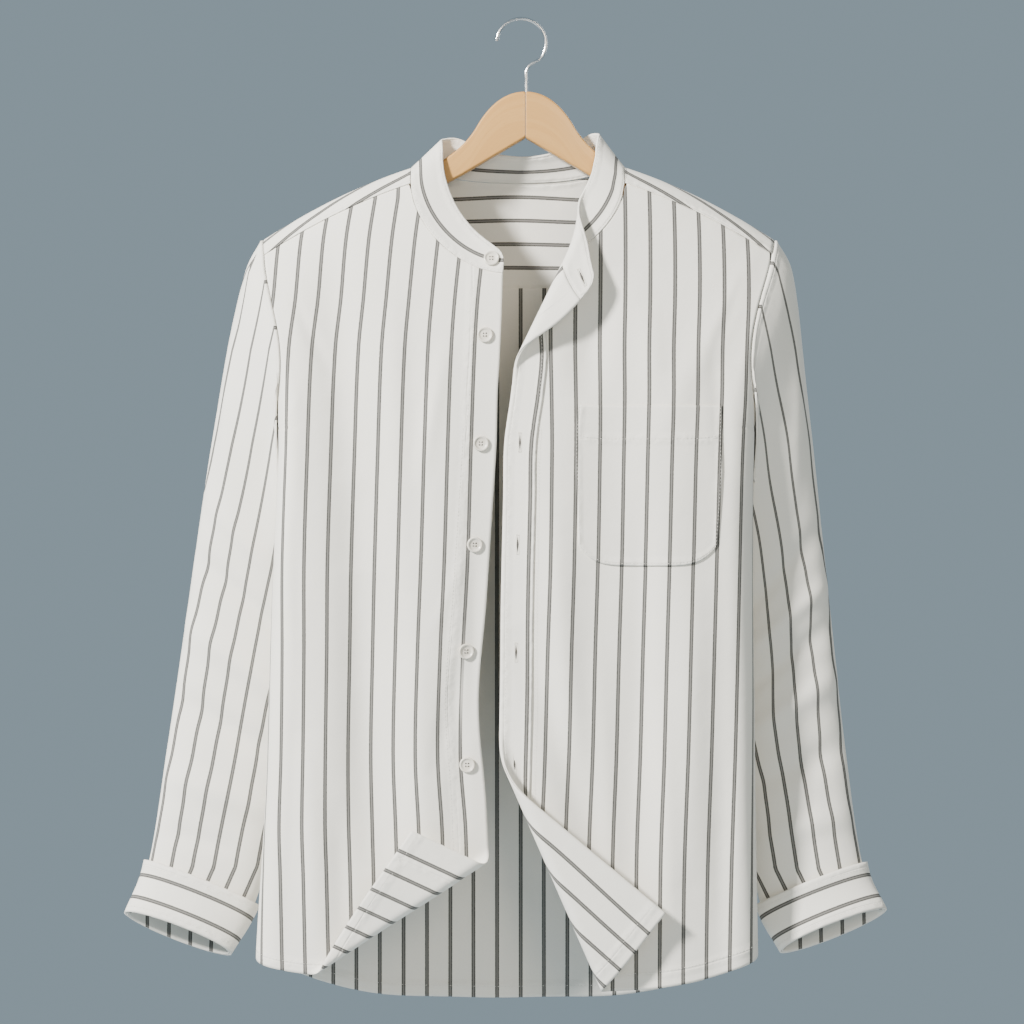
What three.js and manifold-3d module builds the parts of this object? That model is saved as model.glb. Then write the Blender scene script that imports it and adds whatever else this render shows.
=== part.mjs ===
// A long-sleeved shirt with a band collar, open down the front, on a wooden hanger.
// Millimetres, +Z up, +Y away from the front. The origin is under the crown of the hook.
// "down" is a depth below the origin, and "right" and "left" are the wearer's sides.
import * as THREE from 'three';
import { mergeVertices } from 'three/addons/utils/BufferGeometryUtils.js';
import Module from 'manifold-3d';

const wasm = await Module();
wasm.setup();

// Cloth and seams
const clothWall = 1.2;
const bandWall = 2.2;
const seamGap = 0.3;

// Shoulder line, from the neck out to the sleeve head
const shoulder = { middle: -6, neckHalf: 99, neckDown: 135, slope: 0.33, droop: 0.00121 };
const shoulderTip = { right: -237, left: 225 };
const ridgeCap = { half: 8, drop: 13 };
const yokeDrop = { front: 15, backDown: 240 };
const fullDepth = { front: 54, back: 58 };
const depthFall = { front: 85, back: 80 };

// Armhole and side turn
const underarmDown = 372;
const sideTurn = { front: 26, frontPull: 60, back: 50, backPull: 25, middle: 0.5 };

// Body outline seen from the front: side folds and front edges at each depth
const bodyRows = [
  { down: 130, rightSide: -237, leftSide: 225, rightEdge: -20, leftEdge: -6 },
  { down: 205, rightSide: -236, leftSide: 223, rightEdge: -20, leftEdge: -8 },
  { down: 255, rightSide: -232, leftSide: 214, rightEdge: -21, leftEdge: -13 },
  { down: 305, rightSide: -227, leftSide: 209, rightEdge: -23, leftEdge: -10 },
  { down: 340, rightSide: -224, leftSide: 207, rightEdge: -25, leftEdge: -13 },
  { down: 385, rightSide: -222, leftSide: 206, rightEdge: -26, leftEdge: -19 },
  { down: 435, rightSide: -224, leftSide: 205, rightEdge: -29, leftEdge: -20 },
  { down: 525, rightSide: -228, leftSide: 205, rightEdge: -35, leftEdge: -22 },
  { down: 616, rightSide: -231, leftSide: 206, rightEdge: -42, leftEdge: -23 },
  { down: 706, rightSide: -234, leftSide: 207, rightEdge: -35, leftEdge: -25 },
  { down: 835, rightSide: -242, leftSide: 209, rightEdge: -30, leftEdge: -29 },
  { down: 900, rightSide: -244, leftSide: 210, rightEdge: -30, leftEdge: -31 },
];

// Neckline: the two neck points on the shoulder seams and the drop at front and back
const neck = { rightX: -104, leftX: 90, frontRight: 233, frontLeft: 230, backDown: 145, bend: 1.75 };

// Shirt-tail hem: depth at each share of the way from the front edge to the side seam
const rightHem = [
  { share: 0, down: 836 }, { share: 0.35, down: 851 }, { share: 0.62, down: 857 },
  { share: 0.85, down: 847 }, { share: 1, down: 836 },
];
const leftHem = [
  { share: 0, down: 867 }, { share: 0.35, down: 873 }, { share: 0.62, down: 865 },
  { share: 0.85, down: 846 }, { share: 1, down: 835 },
];
const backHem = { side: 836, middle: 895, bend: 3.7 };

// Turned-back corners and the soft lapel: the outer line of each roll, its radius and its angle
const rightCorner = {
  fromX: -33, fromDown: 755, toX: -186, toDown: 855, fromRadius: 9, toRadius: 4, hand: 1, turn: 174,
};
const leftCorner = {
  fromX: -23, fromDown: 662, toX: 68, toDown: 871, fromRadius: 13, toRadius: 6, hand: -1, turn: 172,
};
const lapel = {
  fromX: -5, fromDown: 304, toX: 50, toDown: 190, fromRadius: 7, toRadius: 8, hand: 1, turn: 168,
  bend: 70, bendFrom: 0.75, collarFrom: 0.7,
};

// Soft upright folds of the body
const flute = { depth: 2.5, width: 104, from: 240, full: 420 };

// Sleeves: outer line, inner line, middle in Y and half thickness at each share of the length
const rightSleeve = [
  { share: 0, outX: -237, outDown: 201, inX: -209, inDown: 373, midY: 0, half: 50 },
  { share: 0.08, outX: -252, outDown: 229, inX: -207, inDown: 405, midY: 4, half: 45 },
  { share: 0.2, outX: -271, outDown: 300, inX: -203, inDown: 455, midY: 14, half: 34 },
  { share: 0.35, outX: -287, outDown: 385, inX: -201, inDown: 520, midY: 22, half: 27 },
  { share: 0.5, outX: -300, outDown: 470, inX: -203, inDown: 585, midY: 24, half: 24 },
  { share: 0.65, outX: -312, outDown: 555, inX: -208, inDown: 650, midY: 24, half: 23 },
  { share: 0.8, outX: -328, outDown: 665, inX: -224, inDown: 728, midY: 22, half: 21 },
  { share: 0.92, outX: -344, outDown: 768, inX: -248, inDown: 806, midY: 14, half: 18 },
  { share: 1, outX: -362, outDown: 811, inX: -269, inDown: 846, midY: 2, half: 18 },
];
const leftSleeve = [
  { share: 0, outX: 225, outDown: 201, inX: 192, inDown: 373, midY: 0, half: 50 },
  { share: 0.08, outX: 240, outDown: 229, inX: 190, inDown: 405, midY: 4, half: 45 },
  { share: 0.2, outX: 252, outDown: 300, inX: 187, inDown: 455, midY: 14, half: 34 },
  { share: 0.35, outX: 263, outDown: 385, inX: 185, inDown: 520, midY: 22, half: 27 },
  { share: 0.5, outX: 272, outDown: 470, inX: 187, inDown: 585, midY: 24, half: 24 },
  { share: 0.65, outX: 281, outDown: 555, inX: 190, inDown: 650, midY: 24, half: 23 },
  { share: 0.8, outX: 293, outDown: 665, inX: 199, inDown: 728, midY: 22, half: 21 },
  { share: 0.92, outX: 308, outDown: 770, inX: 215, inDown: 806, midY: 14, half: 18 },
  { share: 1, outX: 326, outDown: 808, inX: 233, inDown: 844, midY: 2, half: 18 },
];
const sleeveShares = [0, 0.035, 0.08, 0.14, 0.21, 0.3, 0.4, 0.5, 0.6, 0.7, 0.79, 0.87, 0.94, 1];
const sleeveHeadShare = 0.3;
const sleeveLip = 3;
const sleeveClear = 2;
const mouthTilt = { from: 0.8, degrees: 32 };
const cuff = { from: 0.915, clear: 0.5, flare: 2.5 };

// Collar band: the way its free edge leans from its seam, at shares of its length from the right end
const collarLean = [
  { at: 0, x: 2, y: 4, rise: 19 }, { at: 0.05, x: 13, y: 7, rise: 22 },
  { at: 0.11, x: 22, y: 10, rise: 21 }, { at: 0.19, x: 28, y: 10, rise: 20 },
  { at: 0.28, x: 28, y: 3, rise: 25 }, { at: 0.34, x: 22, y: -1, rise: 32 },
  { at: 0.41, x: 12, y: -9, rise: 26 }, { at: 0.5, x: 0, y: -15, rise: 22 },
  { at: 0.59, x: -10, y: -9, rise: 27 }, { at: 0.66, x: -20, y: -1, rise: 33 },
  { at: 0.72, x: -26, y: 2, rise: 25 }, { at: 0.81, x: -26, y: 9, rise: 23 },
  { at: 0.89, x: -18, y: 9, rise: 25 }, { at: 0.95, x: -6, y: 6, rise: 25 },
  { at: 1, x: 5, y: 4, rise: 23 },
];
const collarRound = { radius: 12, cut: 0.55 };
const collarLift = 0.8;
const collarWall = { outer: 0.5, inner: 0.5 - bandWall };
const collarColumns = 44;
const seamSteps = { front: 20, frontReach: 0.4, side: 3, back: 24 };

// Front band, pocket and buttons
const placket = { columns: 4, roll: 0.8, flat: 0.45, rollRows: 0.3, cloth: 1 };
const pocket = {
  from: 61, to: 200, top: 351, bottom: 494, corner: 19, taper: 7, lean: 9.5,
  gap: 0.6, cloth: 1, rows: 7, columns: 9,
};
const button = { radius: 7, height: 2.4, rim: 1.4, sink: 0.9, fromEdge: 14 };
const buttonDowns = [288, 385, 475, 570, 671];
const buttonLift = 0.8;
const collarButton = { at: 0.028, up: 0.5 };

// Hanger and hook
const hanger = {
  half: 6, bevel: 2, crownDown: 65, apexDown: 107, under: 3.4, neckUnder: 7, tip: 216, tipHeight: 22,
};
const hook = { wire: 3.2, radius: 22.4, centreX: -4, stemX: 0.5, ball: 2.3 };

const quarters = [0, 0.25, 0.5, 0.75, 1];
const radians = Math.PI / 180;
const lerp = (a, b, t) => a + (b - a) * t;
const clamp = (t) => Math.min(1, Math.max(0, t));
const ease = (t) => clamp(t) ** 2 * (3 - 2 * clamp(t));

// Value of every column of a table at one place, on smooth curves through the rows
function read(table, key, at) {
  let k = 0;
  while (k < table.length - 2 && at > table[k + 1][key]) k += 1;
  const last = table.length - 1;
  const rows = [table[Math.max(0, k - 1)], table[k], table[k + 1], table[Math.min(last, k + 2)]];
  const span = rows[2][key] - rows[1][key];
  const t = clamp((at - rows[1][key]) / span);
  const result = {};
  for (const name of Object.keys(table[0])) {
    const slope = (a, b) => (b[name] - a[name]) / (b[key] - a[key]) * span;
    const start = slope(rows[0], rows[2]);
    const end = slope(rows[1], rows[3]);
    const rise = rows[2][name] - rows[1][name];
    result[name] = rows[1][name] + t * start + t * t * (3 * rise - 2 * start - end)
      + t * t * t * (start + end - 2 * rise);
  }
  return result;
}

// Depth of the shoulder ridge at a place across the body
function ridgeDown(x) {
  const past = Math.abs(x - shoulder.middle) - shoulder.neckHalf;
  return shoulder.neckDown + shoulder.slope * past + (past > 0 ? shoulder.droop * past * past : 0);
}

// How far the front or back stands from the middle plane, from the ridge down
function standOff(face, x, down) {
  const drop = Math.max(0, down - ridgeDown(x));
  const near = Math.min(1, drop / ridgeCap.drop);
  const cap = ridgeCap.half * Math.sqrt(near * (2 - near));
  return cap + (fullDepth[face] - ridgeCap.half) * (1 - Math.exp(-drop / depthFall[face]));
}

// Steps of the level lines: across the flat part and round a side
const lineSteps = 28;
const turnSteps = 12;

// Upright folds that deepen from the yoke down
function fluteAt(x, down) {
  const grow = ease((down - flute.from) / (flute.full - flute.from));
  return flute.depth * grow * Math.sin(2 * Math.PI * x / flute.width);
}

// Curve that turns round one side, from the front at t = 0 to the back at t = 1
function sidePoint(side, down, t) {
  const sign = side === 'right' ? -1 : 1;
  const x = read(bodyRows, 'down', down)[side === 'right' ? 'rightSide' : 'leftSide'];
  const tipDown = ridgeDown(shoulderTip[side]) + yokeDrop.front;
  const grow = ease((down - tipDown) / (underarmDown - tipDown));
  const frontX = x - sign * sideTurn.front * grow;
  const backX = x - sign * sideTurn.back * grow;
  const front = standOff('front', frontX, down) + fluteAt(frontX, down);
  const back = standOff('back', backX, down) + fluteAt(backX, down);
  const weights = [(1 - t) ** 3, 3 * t * (1 - t) ** 2, 3 * t * t * (1 - t), t ** 3];
  const frontPull = frontX + sign * sideTurn.frontPull * grow;
  const backPull = backX + sign * sideTurn.backPull * grow;
  return {
    x: weights[0] * frontX + weights[1] * frontPull + weights[2] * backPull + weights[3] * backX,
    y: (weights[2] + weights[3]) * back - (weights[0] + weights[1]) * front,
  };
}

// Where on the side curve the front or back ends: at the armhole, or at the side seam below it
function sideEnd(face, side, down) {
  const top = face === 'front' ? ridgeDown(shoulderTip[side]) + yokeDrop.front : yokeDrop.backDown;
  const t = clamp((down - top) / (underarmDown - top));
  const reach = sideTurn.middle * (1 - Math.sqrt(1 - t * t));
  return face === 'front' ? reach : 1 - reach;
}

// One level line of a front, from the front edge round to the armhole or side seam
function frontLine(side, down) {
  const row = read(bodyRows, 'down', down);
  const edge = side === 'right' ? row.rightEdge : row.leftEdge;
  const corner = sidePoint(side, down, 0).x;
  const end = sideEnd('front', side, down);
  const line = [];
  for (let k = 0; k <= lineSteps; k += 1) {
    const x = lerp(edge, corner, k / lineSteps);
    line.push({ x, y: -standOff('front', x, down) - fluteAt(x, down) });
  }
  for (let k = 1; k <= turnSteps && end > 0; k += 1) line.push(sidePoint(side, down, end * k / turnSteps));
  return line;
}

// One level line of the back, from the right side round to the left side
function backLine(down) {
  const line = [];
  const ends = { right: sideEnd('back', 'right', down), left: sideEnd('back', 'left', down) };
  for (let k = turnSteps; k >= 1; k -= 1) {
    line.push(sidePoint('right', down, lerp(1, ends.right, k / turnSteps)));
  }
  const from = sidePoint('right', down, 1).x;
  const to = sidePoint('left', down, 1).x;
  for (let k = 0; k <= lineSteps; k += 1) {
    const x = lerp(from, to, k / lineSteps);
    line.push({ x, y: standOff('back', x, down) + fluteAt(x, down) });
  }
  for (let k = 1; k <= turnSteps; k += 1) {
    line.push(sidePoint('left', down, lerp(1, ends.left, k / turnSteps)));
  }
  return line;
}

// Point at a share of the length of a line of points
function alongLine(line, share) {
  const lengths = [0];
  for (let k = 1; k < line.length; k += 1) {
    const a = line[k - 1];
    const b = line[k];
    lengths.push(lengths[k - 1] + Math.hypot(b.x - a.x, b.y - a.y, (b.z ?? 0) - (a.z ?? 0)));
  }
  const want = clamp(share) * lengths[lengths.length - 1];
  let k = 1;
  while (k < line.length - 1 && lengths[k] < want) k += 1;
  const step = lengths[k] - lengths[k - 1];
  const t = step > 0 ? (want - lengths[k - 1]) / step : 0;
  const a = line[k - 1];
  const b = line[k];
  return {
    x: lerp(a.x, b.x, t), y: lerp(a.y, b.y, t), z: lerp(a.z ?? 0, b.z ?? 0, t),
    length: lengths[lengths.length - 1],
  };
}

// Roll of cloth over a straight line: flat before it, round it at its radius, then straight on
function roll(p, line) {
  const length = Math.hypot(line.toX - line.fromX, line.toDown - line.fromDown);
  const alongX = (line.toX - line.fromX) / length;
  const alongDown = (line.toDown - line.fromDown) / length;
  const outX = alongDown * line.hand;
  const outDown = -alongX * line.hand;
  const x = p.x - line.fromX;
  const down = -p.z - line.fromDown;
  const reach = (x * alongX + down * alongDown) / length;
  const radius = lerp(line.fromRadius, line.toRadius, clamp(reach));
  const bend = (line.bend ?? 0) * Math.max(0, reach - (line.bendFrom ?? 0)) ** 2;
  const past = x * outX + down * outDown + radius - bend;
  if (past <= 0) return p;
  const most = line.turn * radians;
  const angle = Math.min(past / radius, most);
  const rest = past - angle * radius;
  const across = radius * Math.sin(angle) + rest * Math.cos(angle) - past;
  const lift = radius * (1 - Math.cos(angle)) + rest * Math.sin(angle);
  return { x: p.x + outX * across, y: p.y - lift, z: p.z - outDown * across };
}

// Depth at which a roll's line crosses one place across the body
function rollDown(line, x) {
  const t = (x - line.fromX) / (line.toX - line.fromX);
  return lerp(line.fromDown, line.toDown, t);
}

// Top edge of a front: the neckline inside the neck point, the yoke seam outside it
function frontTop(side, x) {
  const edge = side === 'right' ? bodyRows[0].rightEdge : bodyRows[0].leftEdge;
  const point = side === 'right' ? neck.rightX : neck.leftX;
  const lowest = side === 'right' ? neck.frontRight : neck.frontLeft;
  const high = ridgeDown(point) + yokeDrop.front;
  const t = (x - edge) / (point - edge);
  if (t >= 1) return ridgeDown(x) + yokeDrop.front;
  return high + (lowest - high) * (1 - clamp(t) ** neck.bend) ** (1 / neck.bend);
}

// Point of a front at a share of its width and a depth
function frontPoint(side, share, down) {
  const p = alongLine(frontLine(side, down), share);
  const flat = { x: p.x, y: p.y, z: -down };
  const turned = roll(flat, side === 'right' ? rightCorner : leftCorner);
  return side === 'left' ? roll(turned, lapel) : turned;
}

// Highest depth of a front at a share of its width
function frontTopDown(side, share) {
  let down = 215;
  for (let k = 0; k < 6; k += 1) down = frontTop(side, alongLine(frontLine(side, down), share).x);
  return down;
}

// Rows that the pieces round an armhole share
const yokeRows = [-1, -0.6, -0.3, 0, 0.12, 0.25, 0.42, 0.7, 1];
const armholeSteps = 9;
const armholeShare = (k) => Math.sin(Math.PI / 2 * k / armholeSteps);

// Depths of one column of a front: to the underarm, to its fold line, then over the turned corner
function frontDowns(side, share) {
  const top = frontTopDown(side, share);
  const hem = read(side === 'right' ? rightHem : leftHem, 'share', share).down;
  const line = side === 'right' ? rightCorner : leftCorner;
  const x = alongLine(frontLine(side, hem), share).x;
  const fold = Math.min(rollDown(line, x) - line.fromRadius - 8, hem - 36);
  const downs = [];
  for (let k = 0; k < armholeSteps; k += 1) {
    downs.push(lerp(top, underarmDown, lerp(k / armholeSteps, armholeShare(k), share * share)));
  }
  for (let k = 0; k < 8; k += 1) downs.push(lerp(underarmDown, fold, k / 8));
  for (let k = 0; k <= 11; k += 1) downs.push(lerp(fold, hem, k / 11));
  return downs;
}

// Faces of a closed body from a list of positions
function closedMesh(positions, faces) {
  let volume = 0;
  for (const [a, b, c] of faces) {
    const [p, q, r] = [positions[a], positions[b], positions[c]];
    volume += p.dot(q.clone().cross(r));
  }
  const geometry = new THREE.BufferGeometry();
  const numbers = positions.flatMap((p) => [p.x, p.y, p.z]);
  geometry.setAttribute('position', new THREE.Float32BufferAttribute(numbers, 3));
  geometry.setIndex(faces.flatMap(([a, b, c]) => (volume > 0 ? [a, b, c] : [a, c, b])));
  geometry.computeVertexNormals();
  return geometry;
}

// Wall of cloth on a grid of points, between two offsets along its outward normal.
// "round" joins the last column to the first. An offset may be a function of the row.
// "keep" is the number of columns that the wall covers, where it lies on part of a panel.
function wall(grid, { outer = 0, inner = -clothWall, side = 1, round = false, keep = grid[0].length } = {}) {
  const rows = grid.length;
  const columns = grid[0].length;
  const at = (j, i) => grid[j][round ? (i + columns) % columns : Math.min(columns - 1, Math.max(0, i))];
  const vector = (a, b) => new THREE.Vector3(b.x - a.x, b.y - a.y, b.z - a.z);
  const offset = (value, j) => (typeof value === 'function' ? value(j / (rows - 1)) : value);
  const positions = [];
  for (const face of [outer, inner]) {
    for (let j = 0; j < rows; j += 1) {
      for (let i = 0; i < keep; i += 1) {
        const across = vector(at(j, i - 1), at(j, i + 1));
        const downward = vector(at(Math.max(0, j - 1), i), at(Math.min(rows - 1, j + 1), i));
        const normal = across.cross(downward).normalize().multiplyScalar(side);
        const p = at(j, i);
        positions.push(new THREE.Vector3(p.x, p.y, p.z).addScaledVector(normal, offset(face, j)));
      }
    }
  }
  const faces = [];
  const quad = (a, b, c, d) => faces.push([a, b, c], [a, c, d]);
  const sheet = rows * keep;
  const last = round ? keep : keep - 1;
  for (let j = 0; j < rows - 1; j += 1) {
    for (let i = 0; i < last; i += 1) {
      const a = j * keep + i;
      const b = j * keep + (i + 1) % keep;
      quad(a, b, b + keep, a + keep);
      quad(sheet + a, sheet + a + keep, sheet + b + keep, sheet + b);
    }
    if (!round) {
      const a = j * keep;
      const b = a + keep - 1;
      quad(a, a + keep, sheet + a + keep, sheet + a);
      quad(b, sheet + b, sheet + b + keep, b + keep);
    }
  }
  const foot = (rows - 1) * keep;
  for (let i = 0; i < last; i += 1) {
    const next = (i + 1) % keep;
    quad(i, sheet + i, sheet + next, next);
    quad(foot + i, foot + next, sheet + foot + next, sheet + foot + i);
  }
  return closedMesh(positions, faces);
}

// Columns of a front, closer together by its front edge
const frontColumns = { near: 15, far: 10, nearShare: 0.42 };
function frontShares() {
  const { near, far, nearShare } = frontColumns;
  const shares = [];
  for (let k = 0; k < near; k += 1) shares.push(nearShare * k / near);
  for (let k = 0; k <= far; k += 1) shares.push(lerp(nearShare, 1, k / far));
  return shares;
}

// Trim that keeps neighbouring pieces a seam's gap apart
const sideTrim = 0.0006;
const topTrim = 2 * seamGap;
const backColumns = 22;

function frontGrid(side) {
  const shares = frontShares().map((share) => Math.min(share, 1 - sideTrim));
  const columns = shares.map((share) => {
    const downs = frontDowns(side, share);
    downs[0] += topTrim;
    return downs.map((down) => frontPoint(side, share, down));
  });
  return columns[0].map((_, j) => columns.map((column) => column[j]));
}

function backGrid() {
  const columns = [];
  for (let i = 0; i <= backColumns; i += 1) {
    const share = clamp(lerp(sideTrim / 2, 1 - sideTrim / 2, i / backColumns));
    const hem = lerp(backHem.middle, backHem.side, Math.abs(2 * share - 1) ** backHem.bend);
    const downs = [yokeDrop.backDown + topTrim];
    for (let k = 1; k < armholeSteps; k += 1) {
      downs.push(lerp(yokeDrop.backDown, underarmDown, armholeShare(k)));
    }
    for (let k = 0; k <= 10; k += 1) downs.push(lerp(underarmDown, hem, k / 10));
    columns.push(downs.map((down) => {
      const p = alongLine(backLine(down), share);
      return { x: p.x, y: p.y, z: -down };
    }));
  }
  return columns[0].map((_, j) => columns.map((column) => column[j]));
}

// Point of the yoke: w runs from the front seam at -1, over the ridge at 0, to the back seam at 1
function yokePoint(x, w) {
  const ridge = ridgeDown(x);
  const down = ridge + (w < 0 ? yokeDrop.front : yokeDrop.backDown - ridge) * w * w;
  const face = w < 0 ? 'front' : 'back';
  return { x, y: standOff(face, x, down) * (w < 0 ? -1 : 1), z: -down };
}

// Place across the body where the yoke meets the sleeve
function yokeEndX(side, w) {
  let x = shoulderTip[side];
  for (let k = 0; k < 5; k += 1) {
    const down = -yokePoint(x, w).z;
    const edge = sidePoint(side, Math.max(down, ridgeDown(shoulderTip[side])), w < 0 ? 0 : 1).x;
    x = lerp(shoulderTip[side], edge, w * w);
  }
  return x;
}

// How far back over the ridge the back neckline lies
function neckW(x) {
  const ridge = ridgeDown(x);
  const t = Math.abs(x - (neck.rightX + neck.leftX) / 2) / ((neck.leftX - neck.rightX) / 2);
  const down = lerp(neck.backDown, ridge, clamp(t) ** 4);
  return Math.sqrt(Math.max(0, down - ridge) / (yokeDrop.backDown - ridge));
}

function yokeGrid() {
  const starts = [];
  const shoulderSteps = 6;
  const neckSteps = 12;
  for (let k = 0; k < shoulderSteps; k += 1) {
    starts.push([lerp(shoulderTip.right, neck.rightX, k / shoulderSteps), -1]);
  }
  for (let k = 0; k < 3; k += 1) starts.push([neck.rightX, lerp(-1, 0, k / 3)]);
  for (let k = 0; k <= neckSteps; k += 1) {
    const x = lerp(neck.rightX, neck.leftX, (1 - Math.cos(Math.PI * k / neckSteps)) / 2);
    starts.push([x, neckW(x)]);
  }
  for (let k = 1; k <= 3; k += 1) starts.push([neck.leftX, lerp(0, -1, k / 3)]);
  for (let k = 1; k <= shoulderSteps; k += 1) {
    starts.push([lerp(neck.leftX, shoulderTip.left, k / shoulderSteps), -1]);
  }
  const grid = [];
  for (const row of yokeRows) {
    const v = (row + 1) / 2;
    grid.push(starts.map(([startX, startW], i) => {
      const w = lerp(startW, 1, v);
      const first = yokeEndX('right', w) + seamGap / 2;
      const last = yokeEndX('left', w) - seamGap / 2;
      const even = lerp(first, last, i / (starts.length - 1));
      const rightShare = clamp((neck.rightX - startX) / (neck.rightX - shoulderTip.right));
      const leftShare = clamp((startX - neck.leftX) / (shoulderTip.left - neck.leftX));
      const start = startX + rightShare * (first - shoulderTip.right) + leftShare * (last - shoulderTip.left);
      return yokePoint(lerp(start, even, v), w);
    }));
  }
  return grid;
}

// Armhole seam of one side, half of it: from the ridge down the front or the back to the underarm
function armholeHalf(face, side) {
  const sign = face === 'front' ? -1 : 1;
  const ws = yokeRows.filter((w) => w * sign >= 0).sort((a, b) => sign * (a - b));
  const line = ws.map((w) => yokePoint(yokeEndX(side, w), w));
  const top = face === 'front' ? ridgeDown(shoulderTip[side]) + yokeDrop.front : yokeDrop.backDown;
  for (let k = 1; k <= armholeSteps; k += 1) {
    const down = lerp(top, underarmDown, armholeShare(k));
    const p = sidePoint(side, down, sideEnd(face, side, down));
    line.push({ x: p.x, y: p.y, z: -down });
  }
  return line;
}

// Least distance out from the middle that clears the body's side at a point
function clearOfBody(side, p) {
  const sign = side === 'right' ? -1 : 1;
  let reach = -Infinity;
  let last = sidePoint(side, -p.z, 0);
  for (let k = 1; k <= 16; k += 1) {
    const next = sidePoint(side, -p.z, k / 16);
    if (p.y >= last.y && p.y <= next.y) {
      reach = Math.max(reach, sign * lerp(last.x, next.x, (p.y - last.y) / Math.max(next.y - last.y, 1e-6)));
    }
    last = next;
  }
  return { ...p, x: sign * Math.max(sign * p.x, reach + sleeveClear) };
}

// Point of a sleeve: turn runs from the top fold round the front to the underarm and back
function sleevePoint(side, halves, turn, share) {
  const row = read(side === 'right' ? rightSleeve : leftSleeve, 'share', share);
  const angle = 2 * Math.PI * turn;
  const tilt = mouthTilt.degrees * radians * ease((share - mouthTilt.from) / (1 - mouthTilt.from));
  const thick = row.half * Math.sin(angle);
  const p = {
    x: lerp(row.inX, row.outX, (1 + Math.cos(angle)) / 2),
    y: row.midY - thick * Math.cos(tilt),
    z: -lerp(row.inDown, row.outDown, (1 + Math.cos(angle)) / 2) + thick * Math.sin(tilt),
  };
  if (share >= sleeveHeadShare) return clearOfBody(side, p);
  const head = turn <= 0.5 ? alongLine(halves.front, 2 * turn) : alongLine(halves.back, 2 - 2 * turn);
  const first = read(side === 'right' ? rightSleeve : leftSleeve, 'share', 0);
  const sign = side === 'right' ? -1 : 1;
  const keep = 1 - ease(share / sleeveHeadShare);
  p.x += keep * (head.x + sign * sleeveLip - lerp(first.inX, first.outX, (1 + Math.cos(angle)) / 2));
  p.y += keep * (head.y - first.midY + first.half * Math.sin(angle));
  p.z += keep * (head.z + lerp(first.inDown, first.outDown, (1 + Math.cos(angle)) / 2));
  return share > 0 ? clearOfBody(side, p) : p;
}

// Places round a sleeve that fall on the corners of its armhole
function sleeveTurns(halves) {
  const front = pointShares(halves.front).map((share) => share / 2);
  const back = pointShares(halves.back).slice(1, -1).map((share) => 1 - share / 2).reverse();
  return [...front, ...back];
}

function sleeveGrid(side, shares) {
  const halves = { front: armholeHalf('front', side), back: armholeHalf('back', side) };
  const turns = sleeveTurns(halves);
  return shares.map((share) => turns.map((turn) => sleevePoint(side, halves, turn, share)));
}

function sleeve(side) {
  const sign = side === 'right' ? -1 : 1;
  const grid = sleeveGrid(side, sleeveShares);
  const start = grid[0].map((p) => ({ ...p, x: p.x - sign * (sleeveLip - seamGap) }));
  return wall([start, ...grid], { round: true, side: roundSide(grid) });
}

// Turned-up cuff: the sleeve's own surface moved out, standing off a little at its top edge
function cuffMesh(side) {
  const grid = sleeveGrid(side, quarters.map((t) => lerp(cuff.from, 1, t)));
  const stand = (t) => cuff.clear + cuff.flare * (1 - t);
  return wall(grid, {
    outer: (t) => stand(t) + bandWall, inner: stand, round: true, side: roundSide(grid),
  });
}

// Which way a ring's outward normal turns
function roundSide(grid) {
  const ring = grid[1];
  const middle = new THREE.Vector3();
  ring.forEach((p) => middle.add(new THREE.Vector3(p.x, p.y, p.z)));
  middle.divideScalar(ring.length);
  let sum = 0;
  ring.forEach((p, i) => {
    const next = ring[(i + 1) % ring.length];
    const below = grid[2][i];
    const across = new THREE.Vector3(next.x - p.x, next.y - p.y, next.z - p.z);
    const downward = new THREE.Vector3(below.x - p.x, below.y - p.y, below.z - p.z);
    sum += across.cross(downward).dot(new THREE.Vector3(p.x, p.y, p.z).sub(middle));
  });
  return Math.sign(sum);
}

// Neckline seam, round the neck from the right front end to the left front end
function neckSeam() {
  const line = [];
  const front = (side) => {
    const point = side === 'right' ? neck.rightX : neck.leftX;
    const points = [];
    for (let k = 0; k <= seamSteps.front; k += 1) {
      const share = seamSteps.frontReach * k / seamSteps.front;
      const down = frontTopDown(side, share);
      const p = alongLine(frontLine(side, down), share);
      if (Math.abs(p.x) < Math.abs(point)) points.push({ x: p.x, y: p.y, z: -down });
    }
    return points;
  };
  line.push(...front('right'));
  for (let k = 0; k <= seamSteps.side; k += 1) line.push(yokePoint(neck.rightX, -1 + k / seamSteps.side));
  for (let k = 1; k < seamSteps.back; k += 1) {
    const x = lerp(neck.rightX, neck.leftX, (1 - Math.cos(Math.PI * k / seamSteps.back)) / 2);
    line.push(yokePoint(x, neckW(x)));
  }
  for (let k = 0; k <= seamSteps.side; k += 1) line.push(yokePoint(neck.leftX, -k / seamSteps.side));
  line.push(...front('left').reverse());
  return line;
}

// Shares of a line's length at its points
function pointShares(line) {
  const lengths = [0];
  for (let k = 1; k < line.length; k += 1) {
    const [a, b] = [line[k - 1], line[k]];
    lengths.push(lengths[k - 1] + Math.hypot(b.x - a.x, b.y - a.y, b.z - a.z));
  }
  return lengths.map((length) => length / lengths[lengths.length - 1]);
}

// Columns of the collar, with one on each corner of the neckline
function collarStations(seam) {
  const shares = pointShares(seam);
  const corners = [0];
  shares.forEach((share, k) => {
    const onShoulder = [neck.rightX, neck.leftX].some((x) => Math.abs(seam[k].x - x) < 1e-6);
    if (onShoulder) corners.push(share);
  });
  corners.push(1);
  const stations = [];
  for (let c = 0; c < corners.length - 1; c += 1) {
    const steps = Math.max(1, Math.round((corners[c + 1] - corners[c]) * collarColumns));
    for (let k = 0; k < steps; k += 1) stations.push(lerp(corners[c], corners[c + 1], k / steps));
  }
  return [...stations, 1];
}

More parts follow.
